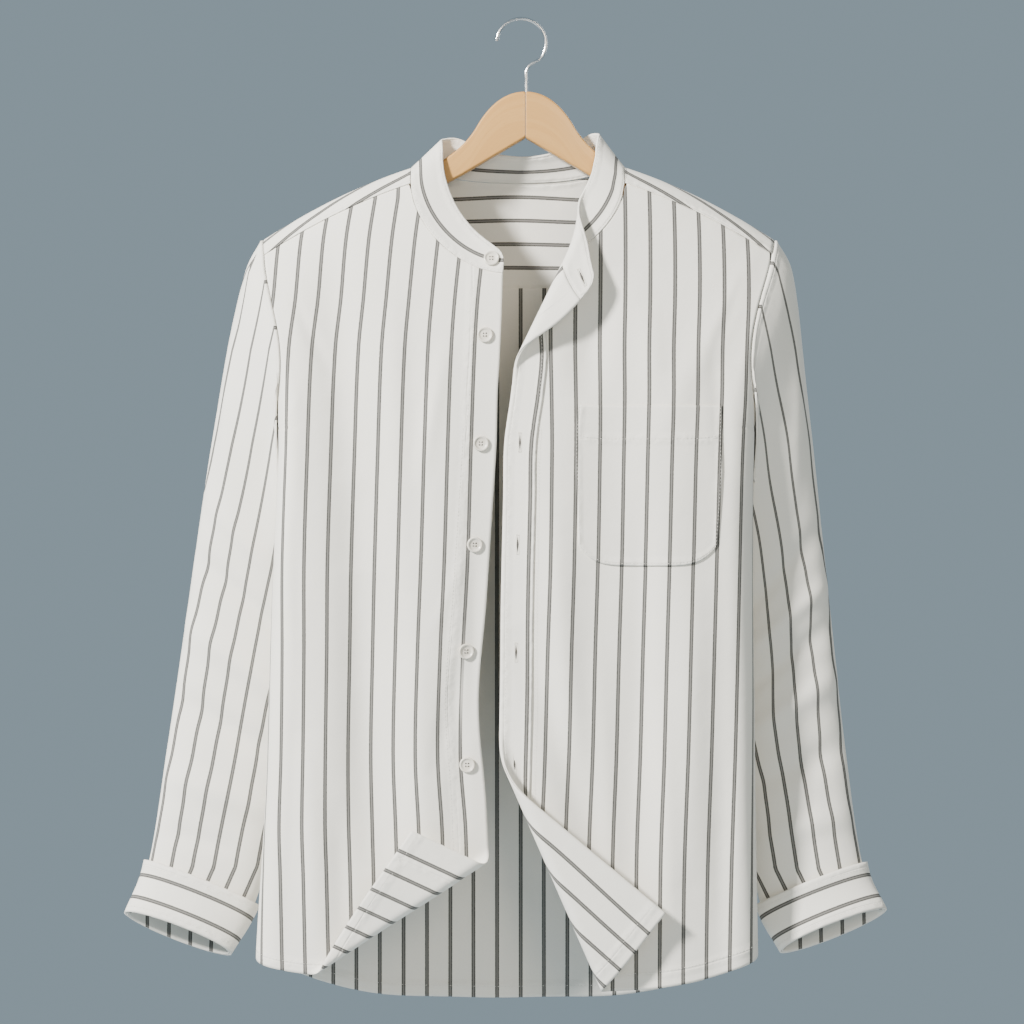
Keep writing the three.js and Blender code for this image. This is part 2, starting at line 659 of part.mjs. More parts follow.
function collarPoint(seam, at, up) {
  const base = alongLine(seam, at);
  const lean = read(collarLean, 'at', at);
  const fromEnd = Math.min(at, 1 - at) * base.length;
  const corner = 1 - clamp(fromEnd / collarRound.radius);
  const height = up * (1 - collarRound.cut * (1 - Math.sqrt(1 - corner * corner)));
  const size = Math.hypot(lean.x, lean.y, lean.rise);
  const lift = height + collarLift / size;
  return { x: base.x + lean.x * lift, y: base.y + lean.y * lift, z: base.z + lean.rise * lift };
}

function collar() {
  const seam = neckSeam();
  const stations = collarStations(seam);
  const grid = quarters.map((up) => stations.map((at) => {
    const p = collarPoint(seam, at, up);
    return at > lapel.collarFrom ? roll(p, lapel) : p;
  }));
  return wall(grid, { ...collarWall, side: -1 });
}

// Front band on the left front, made from the front's points moved out
function placketMesh() {
  const inner = (t) => (t < placket.rollRows ? placket.roll : placket.flat);
  const outer = (t) => inner(t) + placket.cloth;
  return wall(frontGrid('left'), { outer, inner, side: -1, keep: placket.columns + 1 });
}

// Patch pocket on the left front: straight top, sides drawn in a little, rounded bottom corners
function pocketMesh() {
  const grid = [];
  for (let j = 0; j <= pocket.rows; j += 1) {
    const t = j / pocket.rows;
    const row = [];
    for (let i = 0; i <= pocket.columns; i += 1) {
      const u = i / pocket.columns;
      const foot = pocket.bottom - pocket.corner * Math.abs(2 * u - 1) ** 5;
      const down = lerp(pocket.top, foot, t);
      const lean = pocket.lean * Math.max(0, 1 - 2 * t) ** 1.5;
      const along = lerp(pocket.from + pocket.taper * t, pocket.to - pocket.taper * t - lean, u);
      row.push(frontPoint('left', along / alongLine(frontLine('left', down), 0).length, down));
    }
    grid.push(row);
  }
  return wall(grid, { outer: pocket.gap + pocket.cloth, inner: pocket.gap, side: -1 });
}

// Point moved out along a normal
function raised(point, normal, by) {
  return { x: point.x + normal.x * by, y: point.y + normal.y * by, z: point.z + normal.z * by };
}

// Flat round button with a raised rim, its back on a surface point and its face along a normal
function buttonMesh(point, normal) {
  const { radius, height, rim, sink } = button;
  const profile = [[0, 0], [radius - 0.6, 0], [radius, 0.8], [radius - 0.3, height], [radius - rim, height],
    [radius - rim - 0.8, height - sink], [0, height - sink]];
  const geometry = new THREE.LatheGeometry(profile.map(([r, y]) => new THREE.Vector2(r, y)), 14);
  const turn = new THREE.Quaternion().setFromUnitVectors(new THREE.Vector3(0, 1, 0), normal);
  geometry.applyQuaternion(turn);
  const back = raised(point, normal, buttonLift);
  geometry.translate(back.x, back.y, back.z);
  return geometry;
}

// Outward normal of a surface from three of its points
function normalAt(p, across, downward) {
  const a = new THREE.Vector3(across.x - p.x, across.y - p.y, across.z - p.z);
  const b = new THREE.Vector3(downward.x - p.x, downward.y - p.y, downward.z - p.z);
  return a.cross(b).normalize();
}

function frontButton(down) {
  const width = alongLine(frontLine('right', down), 0).length;
  const at = (along, depth) => frontPoint('right', along / width, depth);
  const p = at(button.fromEdge, down);
  return buttonMesh(p, normalAt(p, at(button.fromEdge + 4, down), at(button.fromEdge, down + 4)));
}

function collarButtonMesh() {
  const seam = neckSeam();
  const { at, up } = collarButton;
  const p = collarPoint(seam, at, up);
  const normal = normalAt(p, collarPoint(seam, at, up + 0.1), collarPoint(seam, at + 0.01, up));
  return buttonMesh(raised(p, normal, collarWall.outer), normal);
}

// One arm of the hanger: crown, ogee, then a long arm that carries the shoulder
function hangerArm(side) {
  const sign = side === 'right' ? -1 : 1;
  const under = (x) => hanger.under + hanger.neckUnder * (hanger.tip - x) / hanger.tip;
  const top = (x) => -ridgeDown(sign * x) - under(x);
  const shape = new THREE.Shape();
  shape.moveTo(seamGap / 2, -hanger.crownDown);
  shape.bezierCurveTo(22, -hanger.crownDown, 36, -82, 45, -98);
  shape.bezierCurveTo(52, -110, 66, -124, 94, top(94));
  for (let x = 110; x < hanger.tip; x += 16) shape.lineTo(x, top(x));
  const tipTop = top(hanger.tip);
  shape.lineTo(hanger.tip - 2, tipTop);
  const tipFoot = tipTop - hanger.tipHeight;
  shape.quadraticCurveTo(hanger.tip + 4, (tipTop + tipFoot) / 2, hanger.tip - 6, tipFoot);
  shape.lineTo(120, top(120) - 27);
  shape.lineTo(57, -140.5);
  shape.lineTo(seamGap / 2, -hanger.apexDown);
  const geometry = new THREE.ExtrudeGeometry(shape, {
    depth: 2 * (hanger.half - hanger.bevel), curveSegments: 6, bevelEnabled: true, bevelSegments: 2,
    bevelThickness: hanger.bevel, bevelSize: hanger.bevel, bevelOffset: -hanger.bevel,
  });
  geometry.translate(0, 0, -(hanger.half - hanger.bevel));
  geometry.rotateX(Math.PI / 2);
  return side === 'right' ? mirrored(geometry) : geometry;
}

// Mirror image of a geometry across the middle plane, its faces turned outward again
function mirrored(geometry) {
  const flat = geometry.index ? geometry.toNonIndexed() : geometry;
  const p = flat.getAttribute('position');
  for (let k = 0; k < p.count; k += 3) {
    const first = [-p.getX(k), p.getY(k), p.getZ(k)];
    const second = [-p.getX(k + 1), p.getY(k + 1), p.getZ(k + 1)];
    p.setXYZ(k, ...second);
    p.setXYZ(k + 1, ...first);
    p.setX(k + 2, -p.getX(k + 2));
  }
  return flat;
}

// A closed geometry as a solid that can be joined, and back
function toSolid(geometry) {
  const bare = new THREE.BufferGeometry();
  bare.setAttribute('position', geometry.getAttribute('position'));
  if (geometry.index) bare.setIndex(geometry.index);
  const merged = mergeVertices(bare, 1e-4);
  const mesh = new wasm.Mesh({
    numProp: 3,
    vertProperties: new Float32Array(merged.getAttribute('position').array),
    triVerts: new Uint32Array(merged.index.array),
  });
  return new wasm.Manifold(mesh);
}

function fromSolid(solid) {
  const mesh = solid.getMesh();
  const geometry = new THREE.BufferGeometry();
  geometry.setAttribute('position', new THREE.Float32BufferAttribute(mesh.vertProperties, 3));
  geometry.setIndex(Array.from(mesh.triVerts));
  geometry.computeVertexNormals();
  return geometry;
}

// Hook: a straight stem, a short reverse bend and most of a circle, with a ball at its tip
function hookMesh() {
  const centreZ = hook.wire / 2 - hook.radius;
  const points = [
    new THREE.Vector3(hook.stemX, 0, -hanger.crownDown + seamGap), new THREE.Vector3(hook.stemX, 0, -56),
    new THREE.Vector3(hook.stemX, 0, -47), new THREE.Vector3(4, 0, -40.5),
  ];
  for (let angle = -38; angle <= 170; angle += 16) {
    const x = hook.centreX + hook.radius * Math.cos(angle * radians);
    points.push(new THREE.Vector3(x, 0, centreZ + hook.radius * Math.sin(angle * radians)));
  }
  const section = [];
  for (let k = 0; k < 8; k += 1) {
    const angle = 2 * Math.PI * k / 8;
    section.push(new THREE.Vector2(hook.wire / 2 * Math.cos(angle), hook.wire / 2 * Math.sin(angle)));
  }
  const wire = new THREE.ExtrudeGeometry(new THREE.Shape(section), {
    steps: 36, bevelEnabled: false, extrudePath: new THREE.CatmullRomCurve3(points),
  });
  const ball = new THREE.SphereGeometry(hook.ball, 10, 8);
  const tip = points[points.length - 1];
  ball.translate(tip.x, tip.y, tip.z);
  return fromSolid(toSolid(wire).add(toSolid(ball)));
}

// Materials
const cloth = new THREE.MeshStandardMaterial({ color: 0xeae6de, roughness: 0.9, metalness: 0 });
cloth.side = THREE.DoubleSide;
const buttonShell = new THREE.MeshStandardMaterial({ color: 0xe0d8c8, roughness: 0.35, metalness: 0 });
const beech = new THREE.MeshStandardMaterial({ color: 0xd2aa73, roughness: 0.5, metalness: 0 });
const steel = new THREE.MeshStandardMaterial({ color: 0xc4c6c8, roughness: 0.2, metalness: 1 });

// Assembly
const group = new THREE.Group();
function add(name, geometry, material) {
  const mesh = new THREE.Mesh(geometry, material);
  mesh.name = name;
  group.add(mesh);
}

add('back', wall(backGrid()), cloth);
add('yoke', wall(yokeGrid()), cloth);
add('front_right', wall(frontGrid('right'), { side: 1 }), cloth);
add('front_left', wall(frontGrid('left'), { side: -1 }), cloth);
add('placket_left', placketMesh(), cloth);
add('pocket', pocketMesh(), cloth);
add('collar_band', collar(), cloth);
for (const side of ['right', 'left']) {
  add(`sleeve_${side}`, sleeve(side), cloth);
  add(`cuff_${side}`, cuffMesh(side), cloth);
  add(`hanger_arm_${side}`, hangerArm(side), beech);
}
add('hook', hookMesh(), steel);
add('button_collar', collarButtonMesh(), buttonShell);
buttonDowns.forEach((down, k) => add(`button_${k + 1}`, frontButton(down), buttonShell));

export default group;
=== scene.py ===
# %% [markdown]
# # A striped shirt with a band collar, open on its hanger
#
# Each cloth piece is worked out from the sizes of the pattern: a front, a yoke or a sleeve is a
# function of two parameters, and a grid of points on it becomes a thin shell. All lengths in the
# functions are millimetres, with +Z up, +Y away from the front and the origin under the hook's
# crown. "down" is a depth below the origin. "right" and "left" are the wearer's sides.

# %% Setup: the fixed frame
import math

import bpy
import numpy as np
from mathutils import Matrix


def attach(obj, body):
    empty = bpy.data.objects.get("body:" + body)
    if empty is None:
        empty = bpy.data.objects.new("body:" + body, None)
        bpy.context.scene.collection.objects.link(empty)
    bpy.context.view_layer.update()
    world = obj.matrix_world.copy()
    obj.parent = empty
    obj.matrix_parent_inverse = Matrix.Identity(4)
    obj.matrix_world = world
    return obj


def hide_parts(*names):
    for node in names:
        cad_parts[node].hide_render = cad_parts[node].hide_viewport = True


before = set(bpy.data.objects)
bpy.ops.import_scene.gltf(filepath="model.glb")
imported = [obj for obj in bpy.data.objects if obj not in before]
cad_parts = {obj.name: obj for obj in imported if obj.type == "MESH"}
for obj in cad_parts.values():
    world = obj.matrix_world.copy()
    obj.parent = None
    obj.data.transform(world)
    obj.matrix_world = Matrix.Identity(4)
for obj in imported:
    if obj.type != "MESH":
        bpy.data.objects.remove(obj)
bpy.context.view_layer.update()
scene = bpy.context.scene
MM = 0.001
print("CAD nodes:", len(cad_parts))

# %% [markdown]
# ## Camera and light
#
# The camera stands 2.8 m in front of the shirt at half its height, as in the photograph. One lamp
# from the upper left models the folds, and the pale surroundings are plain on every side.

# %% Camera
VIEW_CENTRE = (-0.0122, -0.446)
VIEW_DISTANCE = 2.8
VIEW_WIDTH = 0.929
SENSOR = 36.0

camera_data = bpy.data.cameras.new("camera")
camera_data.sensor_width = SENSOR
camera_data.lens = SENSOR * VIEW_DISTANCE / VIEW_WIDTH
camera = bpy.data.objects.new("camera", camera_data)
camera.location = (VIEW_CENTRE[0], -VIEW_DISTANCE, VIEW_CENTRE[1])
camera.rotation_euler = (math.radians(90), 0, 0)
scene.collection.objects.link(camera)
scene.camera = camera
print("lens:", round(camera_data.lens, 1), "mm")

# %% Lights
def area_light(name, place, aim, size, power, colour):
    """A square soft light at a place, turned to a point."""
    data = bpy.data.lights.new(name, "AREA")
    data.size = size
    data.energy = power
    data.color = colour
    light = bpy.data.objects.new(name, data)
    light.location = place
    direction = np.array(aim) - np.array(place)
    across = math.hypot(direction[0], direction[1])
    turn = math.atan2(direction[1], direction[0]) - math.pi / 2
    light.rotation_euler = (math.atan2(across, -direction[2]), 0, turn)
    scene.collection.objects.link(light)
    return light


SHIRT_MIDDLE = (0, 0, -0.45)
area_light("key", (-2.3, -2.1, 1.15), SHIRT_MIDDLE, 0.45, 350, (1.0, 0.985, 0.95))
area_light("fill", (0.9, -2.9, 0.5), SHIRT_MIDDLE, 1.2, 34, (1.0, 0.86, 0.66))
area_light("back", (1.2, 2.2, 0.6), SHIRT_MIDDLE, 1.5, 22, (1.0, 0.99, 0.97))

world = bpy.data.worlds.new("studio")
world.use_nodes = True
world.node_tree.nodes["Background"].inputs["Color"].default_value = (0.60, 0.78, 0.90, 1)
world.node_tree.nodes["Background"].inputs["Strength"].default_value = 0.40
scene.world = world

# %% [markdown]
# ## Sizes of the pattern
#
# The same numbers as in the CAD model, so that each piece lies where its solid is. A table has
# named columns, and read() follows a smooth curve through its rows.

# %% Small helpers
def lerp(a, b, t):
    """Value between a and b."""
    return a + (b - a) * t


def clamp(t):
    """Value kept between 0 and 1."""
    return np.clip(t, 0.0, 1.0)


def ease(t):
    """Smooth step from 0 to 1."""
    t = clamp(t)
    return t * t * (3 - 2 * t)


def table(columns, rows):
    """Named columns of numbers, the first one being where the others are read."""
    names = columns.split()
    return {"key": names[0], **dict(zip(names, np.array(rows, float).T))}


def read(rows, name, at):
    """One column of a table at some places: a cubic through the rows, with slopes from neighbours."""
    x, y = rows[rows["key"]], rows[name]
    at = np.asarray(at, float)
    k = np.clip(np.searchsorted(x, at, side="left") - 1, 0, len(x) - 2)
    before, after = np.maximum(k - 1, 0), np.minimum(k + 2, len(x) - 1)
    span = x[k + 1] - x[k]
    t = clamp((at - x[k]) / span)
    start = (y[k + 1] - y[before]) / (x[k + 1] - x[before]) * span
    end = (y[after] - y[k]) / (x[after] - x[k]) * span
    rise = y[k + 1] - y[k]
    return y[k] + t * start + t * t * (3 * rise - 2 * start - end) + t**3 * (start + end - 2 * rise)


# %% Tables and sizes
SHOULDER = {"middle": -6, "neck_half": 99, "neck_down": 135, "slope": 0.33, "droop": 0.00121}
TIP = {"right": -237, "left": 225}
SIGN = {"right": -1, "left": 1}
CAP = {"half": 8, "drop": 13}
YOKE_FRONT, YOKE_BACK = 15, 240
DEPTH = {"front": 54, "back": 58}
FALL = {"front": 85, "back": 80}
UNDERARM = 372
SIDE = {"front": 26, "front_pull": 60, "back": 50, "back_pull": 25, "middle": 0.5}
FLUTE = {"depth": 2.5, "width": 104, "from": 240, "full": 420}
BODY = table("down right_side left_side right_edge left_edge", [
    (130, -237, 225, -20, -6), (205, -236, 223, -20, -8), (255, -232, 214, -21, -13),
    (305, -227, 209, -23, -10), (340, -224, 207, -25, -13), (385, -222, 206, -26, -19),
    (435, -224, 205, -29, -20), (525, -228, 205, -35, -22), (616, -231, 206, -42, -23),
    (706, -234, 207, -35, -25), (835, -242, 209, -30, -29), (900, -244, 210, -30, -31),
])
NECK_X = {"right": -104, "left": 90}
NECK_FRONT = {"right": 233, "left": 230}
NECK_BACK, NECK_BEND = 145, 1.75
HEM = {
    "right": table("share down", [(0, 836), (0.35, 851), (0.62, 857), (0.85, 847), (1, 836)]),
    "left": table("share down", [(0, 867), (0.35, 873), (0.62, 865), (0.85, 846), (1, 835)]),
}
BACK_HEM = {"side": 836, "middle": 895, "bend": 3.7}
CORNER = {
    "right": {"start": (-33, 755), "end": (-186, 855), "radius": (9, 4), "hand": 1, "turn": 174},
    "left": {"start": (-23, 662), "end": (68, 871), "radius": (13, 6), "hand": -1, "turn": 172},
}
LAPEL = {"start": (-5, 304), "end": (50, 190), "radius": (7, 8), "hand": 1, "turn": 168,
         "bend": 70, "bend_from": 0.75}
COLLAR_ROLL_FROM = 0.7
SLEEVE = {
    "right": table("share out_x out_down in_x in_down mid_y half", [
        (0, -237, 201, -209, 373, 0, 50), (0.08, -252, 229, -207, 405, 4, 45),
        (0.2, -271, 300, -203, 455, 14, 34), (0.35, -287, 385, -201, 520, 22, 27),
        (0.5, -300, 470, -203, 585, 24, 24), (0.65, -312, 555, -208, 650, 24, 23),
        (0.8, -328, 665, -224, 728, 22, 21), (0.92, -344, 768, -248, 806, 14, 18),
        (1, -362, 811, -269, 846, 2, 18),
    ]),
    "left": table("share out_x out_down in_x in_down mid_y half", [
        (0, 225, 201, 192, 373, 0, 50), (0.08, 240, 229, 190, 405, 4, 45),
        (0.2, 252, 300, 187, 455, 14, 34), (0.35, 263, 385, 185, 520, 22, 27),
        (0.5, 272, 470, 187, 585, 24, 24), (0.65, 281, 555, 190, 650, 24, 23),
        (0.8, 293, 665, 199, 728, 22, 21), (0.92, 308, 770, 215, 806, 14, 18),
        (1, 326, 808, 233, 844, 2, 18),
    ]),
}
HEAD_SHARE, SLEEVE_LIP, SLEEVE_CLEAR = 0.3, 3, 2
TILT = {"from": 0.8, "degrees": 32}
CUFF = {"from": 0.915, "clear": 0.5, "flare": 2.5, "wall": 2.2}
LEAN = table("at x y rise", [
    (0, 2, 4, 19), (0.05, 13, 7, 22), (0.11, 22, 10, 21), (0.19, 28, 10, 20), (0.28, 28, 3, 25),
    (0.34, 22, -1, 32), (0.41, 12, -9, 26), (0.5, 0, -15, 22), (0.59, -10, -9, 27),
    (0.66, -20, -1, 33), (0.72, -26, 2, 25), (0.81, -26, 9, 23), (0.89, -18, 9, 25),
    (0.95, -6, 6, 25), (1, 5, 4, 23),
])
COLLAR_ROUND = {"radius": 12, "cut": 0.55}
COLLAR_LIFT = 0.8
POCKET = {"from": 61, "to": 200, "top": 351, "bottom": 494, "corner": 19, "taper": 7, "lean": 9.5}
BUTTON_DOWNS = [288, 385, 475, 570, 671]
BUTTON_FROM_EDGE = 14
HANGER = {"half": 6, "crown": 65, "apex": 107, "under": 3.4, "neck_under": 7, "tip": 216, "height": 22}
HOOK = {"wire": 3.2, "radius": 22.4, "centre_x": -4, "stem_x": 0.5, "ball": 2.3}

# %% [markdown]
# ## The body's form
#
# A level line of the body leaves the front edge, crosses the front, turns round the side on a
# Bezier curve and crosses the back. The depth from front to back grows from the shoulder ridge
# down. Fine level lines are worked out once, and a point of a panel is looked up between them.

# %% Level lines of the body
def ridge_down(x):
    """Depth of the shoulder ridge: level slope from the neck, with a droop that grows as a square."""
    past = np.abs(x - SHOULDER["middle"]) - SHOULDER["neck_half"]
    droop = np.where(past > 0, SHOULDER["droop"] * past**2, 0)
    return SHOULDER["neck_down"] + SHOULDER["slope"] * past + droop


def stand_off(face, x, down):
    """Distance from the middle plane: a round cap on the ridge, then an exponential approach."""
    drop = np.maximum(0, down - ridge_down(x))
    near = np.minimum(1, drop / CAP["drop"])
    cap = CAP["half"] * np.sqrt(near * (2 - near))
    return cap + (DEPTH[face] - CAP["half"]) * (1 - np.exp(-drop / FALL[face]))


def flute_at(x, down):
    """Upright folds: a sine across the body that grows from the yoke down."""
    grow = ease((down - FLUTE["from"]) / (FLUTE["full"] - FLUTE["from"]))
    return FLUTE["depth"] * grow * np.sin(2 * np.pi * x / FLUTE["width"])


def side_point(side, down, t):
    """X and Y on the curve that turns round a side, a cubic from the front at 0 to the back at 1."""
    sign = SIGN[side]
    x = read(BODY, side + "_side", down)
    tip_down = ridge_down(TIP[side]) + YOKE_FRONT
    grow = ease((down - tip_down) / (UNDERARM - tip_down))
    front_x = x - sign * SIDE["front"] * grow
    back_x = x - sign * SIDE["back"] * grow
    front = stand_off("front", front_x, down) + flute_at(front_x, down)
    back = stand_off("back", back_x, down) + flute_at(back_x, down)
    w = ((1 - t) ** 3, 3 * t * (1 - t) ** 2, 3 * t * t * (1 - t), t**3)
    pulled = front_x + sign * SIDE["front_pull"] * grow, back_x + sign * SIDE["back_pull"] * grow
    return (w[0] * front_x + w[1] * pulled[0] + w[2] * pulled[1] + w[3] * back_x,
            (w[2] + w[3]) * back - (w[0] + w[1]) * front)


def side_end(face, side, down):
    """Where on the side curve a panel ends: at the armhole, an ellipse, or the side seam below it."""
    top = ridge_down(TIP[side]) + YOKE_FRONT if face == "front" else YOKE_BACK
    t = clamp((down - top) / (UNDERARM - top))
    reach = SIDE["middle"] * (1 - np.sqrt(1 - t * t))
    return reach if face == "front" else 1 - reach


LEVELS = np.arange(120.0, 912.0, 2.0)
SHARES = np.linspace(0, 1, 501)


def evenly(x, y):
    """Level lines resampled at even shares of their own lengths."""
    steps = np.hypot(np.diff(x, axis=1), np.diff(y, axis=1))
    lengths = np.concatenate([np.zeros((len(x), 1)), np.cumsum(steps, axis=1)], axis=1)
    out = {"x": [], "y": [], "length": lengths[:, -1]}
    for row in range(len(x)):
        at = SHARES * lengths[row, -1]
        out["x"].append(np.interp(at, lengths[row], x[row]))
        out["y"].append(np.interp(at, lengths[row], y[row]))
    return {"x": np.array(out["x"]), "y": np.array(out["y"]), "length": out["length"]}


def front_lines(side):
    """Level lines of one front, from the front edge to the armhole or the side seam."""
    down = LEVELS[:, None]
    edge = read(BODY, side + "_edge", down)
    corner = side_point(side, down, 0)[0]
    x = lerp(edge, corner, np.linspace(0, 1, 120)[None])
    y = -stand_off("front", x, down) - flute_at(x, down)
    turn = side_end("front", side, down) * np.linspace(0, 1, 41)[None, 1:]
    side_x, side_y = side_point(side, down, turn)
    return evenly(np.hstack([x, side_x]), np.hstack([y, side_y]))


def back_lines():
    """Level lines of the back, from the right side to the left side."""
    down = LEVELS[:, None]
    k = np.linspace(0, 1, 41)[None]
    right = side_point("right", down, lerp(side_end("back", "right", down), 1, k[:, :-1]))
    left = side_point("left", down, lerp(1, side_end("back", "left", down), k[:, 1:]))
    x = lerp(side_point("right", down, 1)[0], side_point("left", down, 1)[0], np.linspace(0, 1, 160)[None])
    y = stand_off("back", x, down) + flute_at(x, down)
    return evenly(np.hstack([right[0], x, left[0]]), np.hstack([right[1], y, left[1]]))


LINES = {"right": front_lines("right"), "left": front_lines("left"), "back": back_lines()}


def on_lines(name, share, down):
    """X, Y and line length at a share of the width and a depth, between the nearest level lines."""
    lines = LINES[name]
    row = np.clip((down - LEVELS[0]) / (LEVELS[1] - LEVELS[0]), 0, len(LEVELS) - 1.001)
    col = clamp(share) * (len(SHARES) - 1.001)
    r, c = row.astype(int), col.astype(int)
    fr, fc = row - r, col - c
    found = []
    for grid in (lines["x"], lines["y"]):
        low = lerp(grid[r, c], grid[r, c + 1], fc)
        high = lerp(grid[r + 1, c], grid[r + 1, c + 1], fc)
        found.append(lerp(low, high, fr))
    return found[0], found[1], lerp(lines["length"][r], lines["length"][r + 1], fr)


print("front widths at the hem:", [round(LINES[s]["length"][-30]) for s in ("right", "left")], "mm")

# %% [markdown]
# ## Turned cloth
#
# A turned corner or the soft lapel is cloth rolled over a straight line: flat before the line,
# round it at the roll's radius for its angle, then straight on.

# %% Rolls and creases
def roll(p, line):
    """Points with the part beyond the line carried round a cylinder that lies along it."""
    start, end = np.array(line["start"], float), np.array(line["end"], float)
    length = np.linalg.norm(end - start)
    along = (end - start) / length
    out = np.array([along[1], -along[0]]) * line["hand"]
    x, down = p[..., 0] - start[0], -p[..., 2] - start[1]
    reach = (x * along[0] + down * along[1]) / length
    radius = lerp(line["radius"][0], line["radius"][1], clamp(reach))
    bend = line.get("bend", 0) * np.maximum(0, reach - line.get("bend_from", 0)) ** 2
    past = x * out[0] + down * out[1] + radius - bend
    angle = np.clip(past / radius, 0, math.radians(line["turn"]))
    rest = np.maximum(0, past) - angle * radius
    across = np.where(past > 0, radius * np.sin(angle) + rest * np.cos(angle) - past, 0)
    lift = np.where(past > 0, radius * (1 - np.cos(angle)) + rest * np.sin(angle), 0)
    return p + np.stack([out[0] * across, -lift, -out[1] * across], axis=-1)


def creases(a, b, rows):
    """Height of soft ridges and troughs: each a bell across its line, tapered to both its ends."""
    height = np.zeros(np.broadcast(a, b).shape)
    for a0, b0, a1, b1, width, rise in rows:
        length = math.hypot(a1 - a0, b1 - b0)
        ua, ub = (a1 - a0) / length, (b1 - b0) / length
        along = ((a - a0) * ua + (b - b0) * ub) / length
        off = -(a - a0) * ub + (b - b0) * ua
        taper = np.sin(np.pi * clamp(along)) ** 0.8
        height += rise * taper * np.exp(-((off / width) ** 2))
    return height

# %% [markdown]
# ## Pieces as surfaces
#
# Each function below takes the place across a piece and the place down it, both from 0 to 1 or in
# millimetres, and gives points. Creases are added before the corners are turned, so they turn too.

# %% Fronts and back
FRONT_CREASES = {
    "right": [
        # from x, from down, to x, to down, width, height
        (-176, 195, -152, 500, 21, -6.4), (-156, 420, -138, 770, 20, -6.0), (-216, 225, -204, 640, 15, 3.4),
        (-118, 240, -104, 560, 16, 3.2), (-100, 520, -92, 800, 16, 4.0), (-62, 540, -60, 760, 10, -2.4),
        (-104, 250, -100, 520, 12, -2.0), (-70, 290, -96, 430, 8, 1.8), (-44, 470, -48, 650, 8, -2.2),
        (-50, 474, -86, 560, 6, 1.0), (-55, 566, -84, 690, 8, -1.6), (-212, 250, -170, 330, 6, -1.6),
        (-196, 640, -186, 840, 12, 2.4), (-166, 700, -162, 850, 9, -1.8), (-206, 420, -204, 560, 7, -1.4),
    ],
    "left": [
        (212, 205, 150, 330, 9, 2.2), (200, 228, 164, 310, 6, -2.0), (176, 250, 120, 380, 13, 1.6),
        (-2, 545, 66, 775, 16, -5.2), (24, 430, 44, 690, 13, 3.0), (66, 225, 52, 350, 18, -4.6),
        (150, 500, 146, 780, 16, 3.8), (106, 420, 98, 800, 14, -3.6), (198, 330, 202, 640, 11, -3.2),
        (66, 560, 78, 800, 10, 2.0), (122, 600, 130, 850, 10, 2.2), (176, 660, 172, 860, 10, -2.2),
        (168, 300, 178, 420, 8, -1.8), (204, 600, 206, 820, 8, -1.8), (110, 260, 116, 350, 12, 1.8),
    ],
}
BACK_CREASES = [
    (-200, 290, -120, 470, 13, 2.6), (190, 290, 110, 460, 13, 2.4), (-90, 290, -98, 700, 16, 3.2),
    (-12, 360, -4, 780, 18, -3.0), (68, 310, 78, 720, 15, 3.2), (-160, 460, -170, 840, 13, -2.8),
    (140, 480, 152, 850, 13, 2.8), (-48, 600, -58, 885, 12, 2.4), (32, 620, 24, 890, 12, -2.4),
    (-128, 400, -132, 640, 10, 2.0), (108, 420, 112, 640, 9, -2.0), (190, 520, 196, 820, 9, 2.0),
]


def front_top(side, x):
    """Depth of a front's top: a superellipse along the neckline, then the yoke seam."""
    edge, point = BODY[side + "_edge"][0], NECK_X[side]
    high = ridge_down(point) + YOKE_FRONT
    t = (x - edge) / (point - edge)
    neckline = high + (NECK_FRONT[side] - high) * (1 - clamp(t) ** NECK_BEND) ** (1 / NECK_BEND)
    return np.where(t >= 1, ridge_down(x) + YOKE_FRONT, neckline)


def front_top_down(side, share):
    """Depth of the top at a share of the width, found by a few rounds of looking up x again."""
    down = np.full(np.shape(share), 215.0)
    for _ in range(8):
        down = front_top(side, on_lines(side, share, down)[0])
    return down


def front_point(side, share, down):
    """Point of a front: on its level line, moved out by the creases, then turned at the corners."""
    x, y, _ = on_lines(side, share, down)
    flat = clamp((1 - share) / 0.12)
    y = y - creases(x, down, FRONT_CREASES[side]) * flat
    p = roll(np.stack([x, y, -down * np.ones_like(x)], axis=-1), CORNER[side])
    return roll(p, LAPEL) if side == "left" else p


def front_down(side, share, t):
    """Depth at a share of the way from the top edge to the hem."""
    return lerp(front_top_down(side, share) - 0.6, read(HEM[side], "down", share), t)


def back_point(share, down):
    """Point of the back on its level line, moved out by the creases."""
    x, y, _ = on_lines("back", share, down)
    flat = clamp(np.minimum(share, 1 - share) / 0.08)
    return np.stack([x, y + creases(x, down, BACK_CREASES) * flat, -down * np.ones_like(x)], axis=-1)


def back_down(share, t):
    """Depth of the back from its yoke seam to its hem, which is a superellipse."""
    hem = lerp(BACK_HEM["middle"], BACK_HEM["side"], np.abs(2 * share - 1) ** BACK_HEM["bend"])
    return lerp(YOKE_BACK - 0.6, hem, t)


# %% Yoke
def yoke_point(x, w):
    """Point of the yoke: w is -1 at the front seam, 0 on the ridge and 1 at the back seam."""
    ridge = ridge_down(x)
    down = ridge + np.where(w < 0, YOKE_FRONT, YOKE_BACK - ridge) * w * w
    y = np.where(w < 0, -stand_off("front", x, down), stand_off("back", x, down))
    return np.stack([x, y, -down], axis=-1)


def yoke_end_x(side, w):
    """Place across the body where the yoke meets the sleeve."""
    x = np.full(np.shape(w), float(TIP[side]))
    for _ in range(5):
        down = np.maximum(-yoke_point(x, w)[..., 2], ridge_down(TIP[side]))
        edge = np.where(w < 0, side_point(side, down, 0)[0], side_point(side, down, 1)[0])
        x = lerp(TIP[side], edge, w * w)
    return x


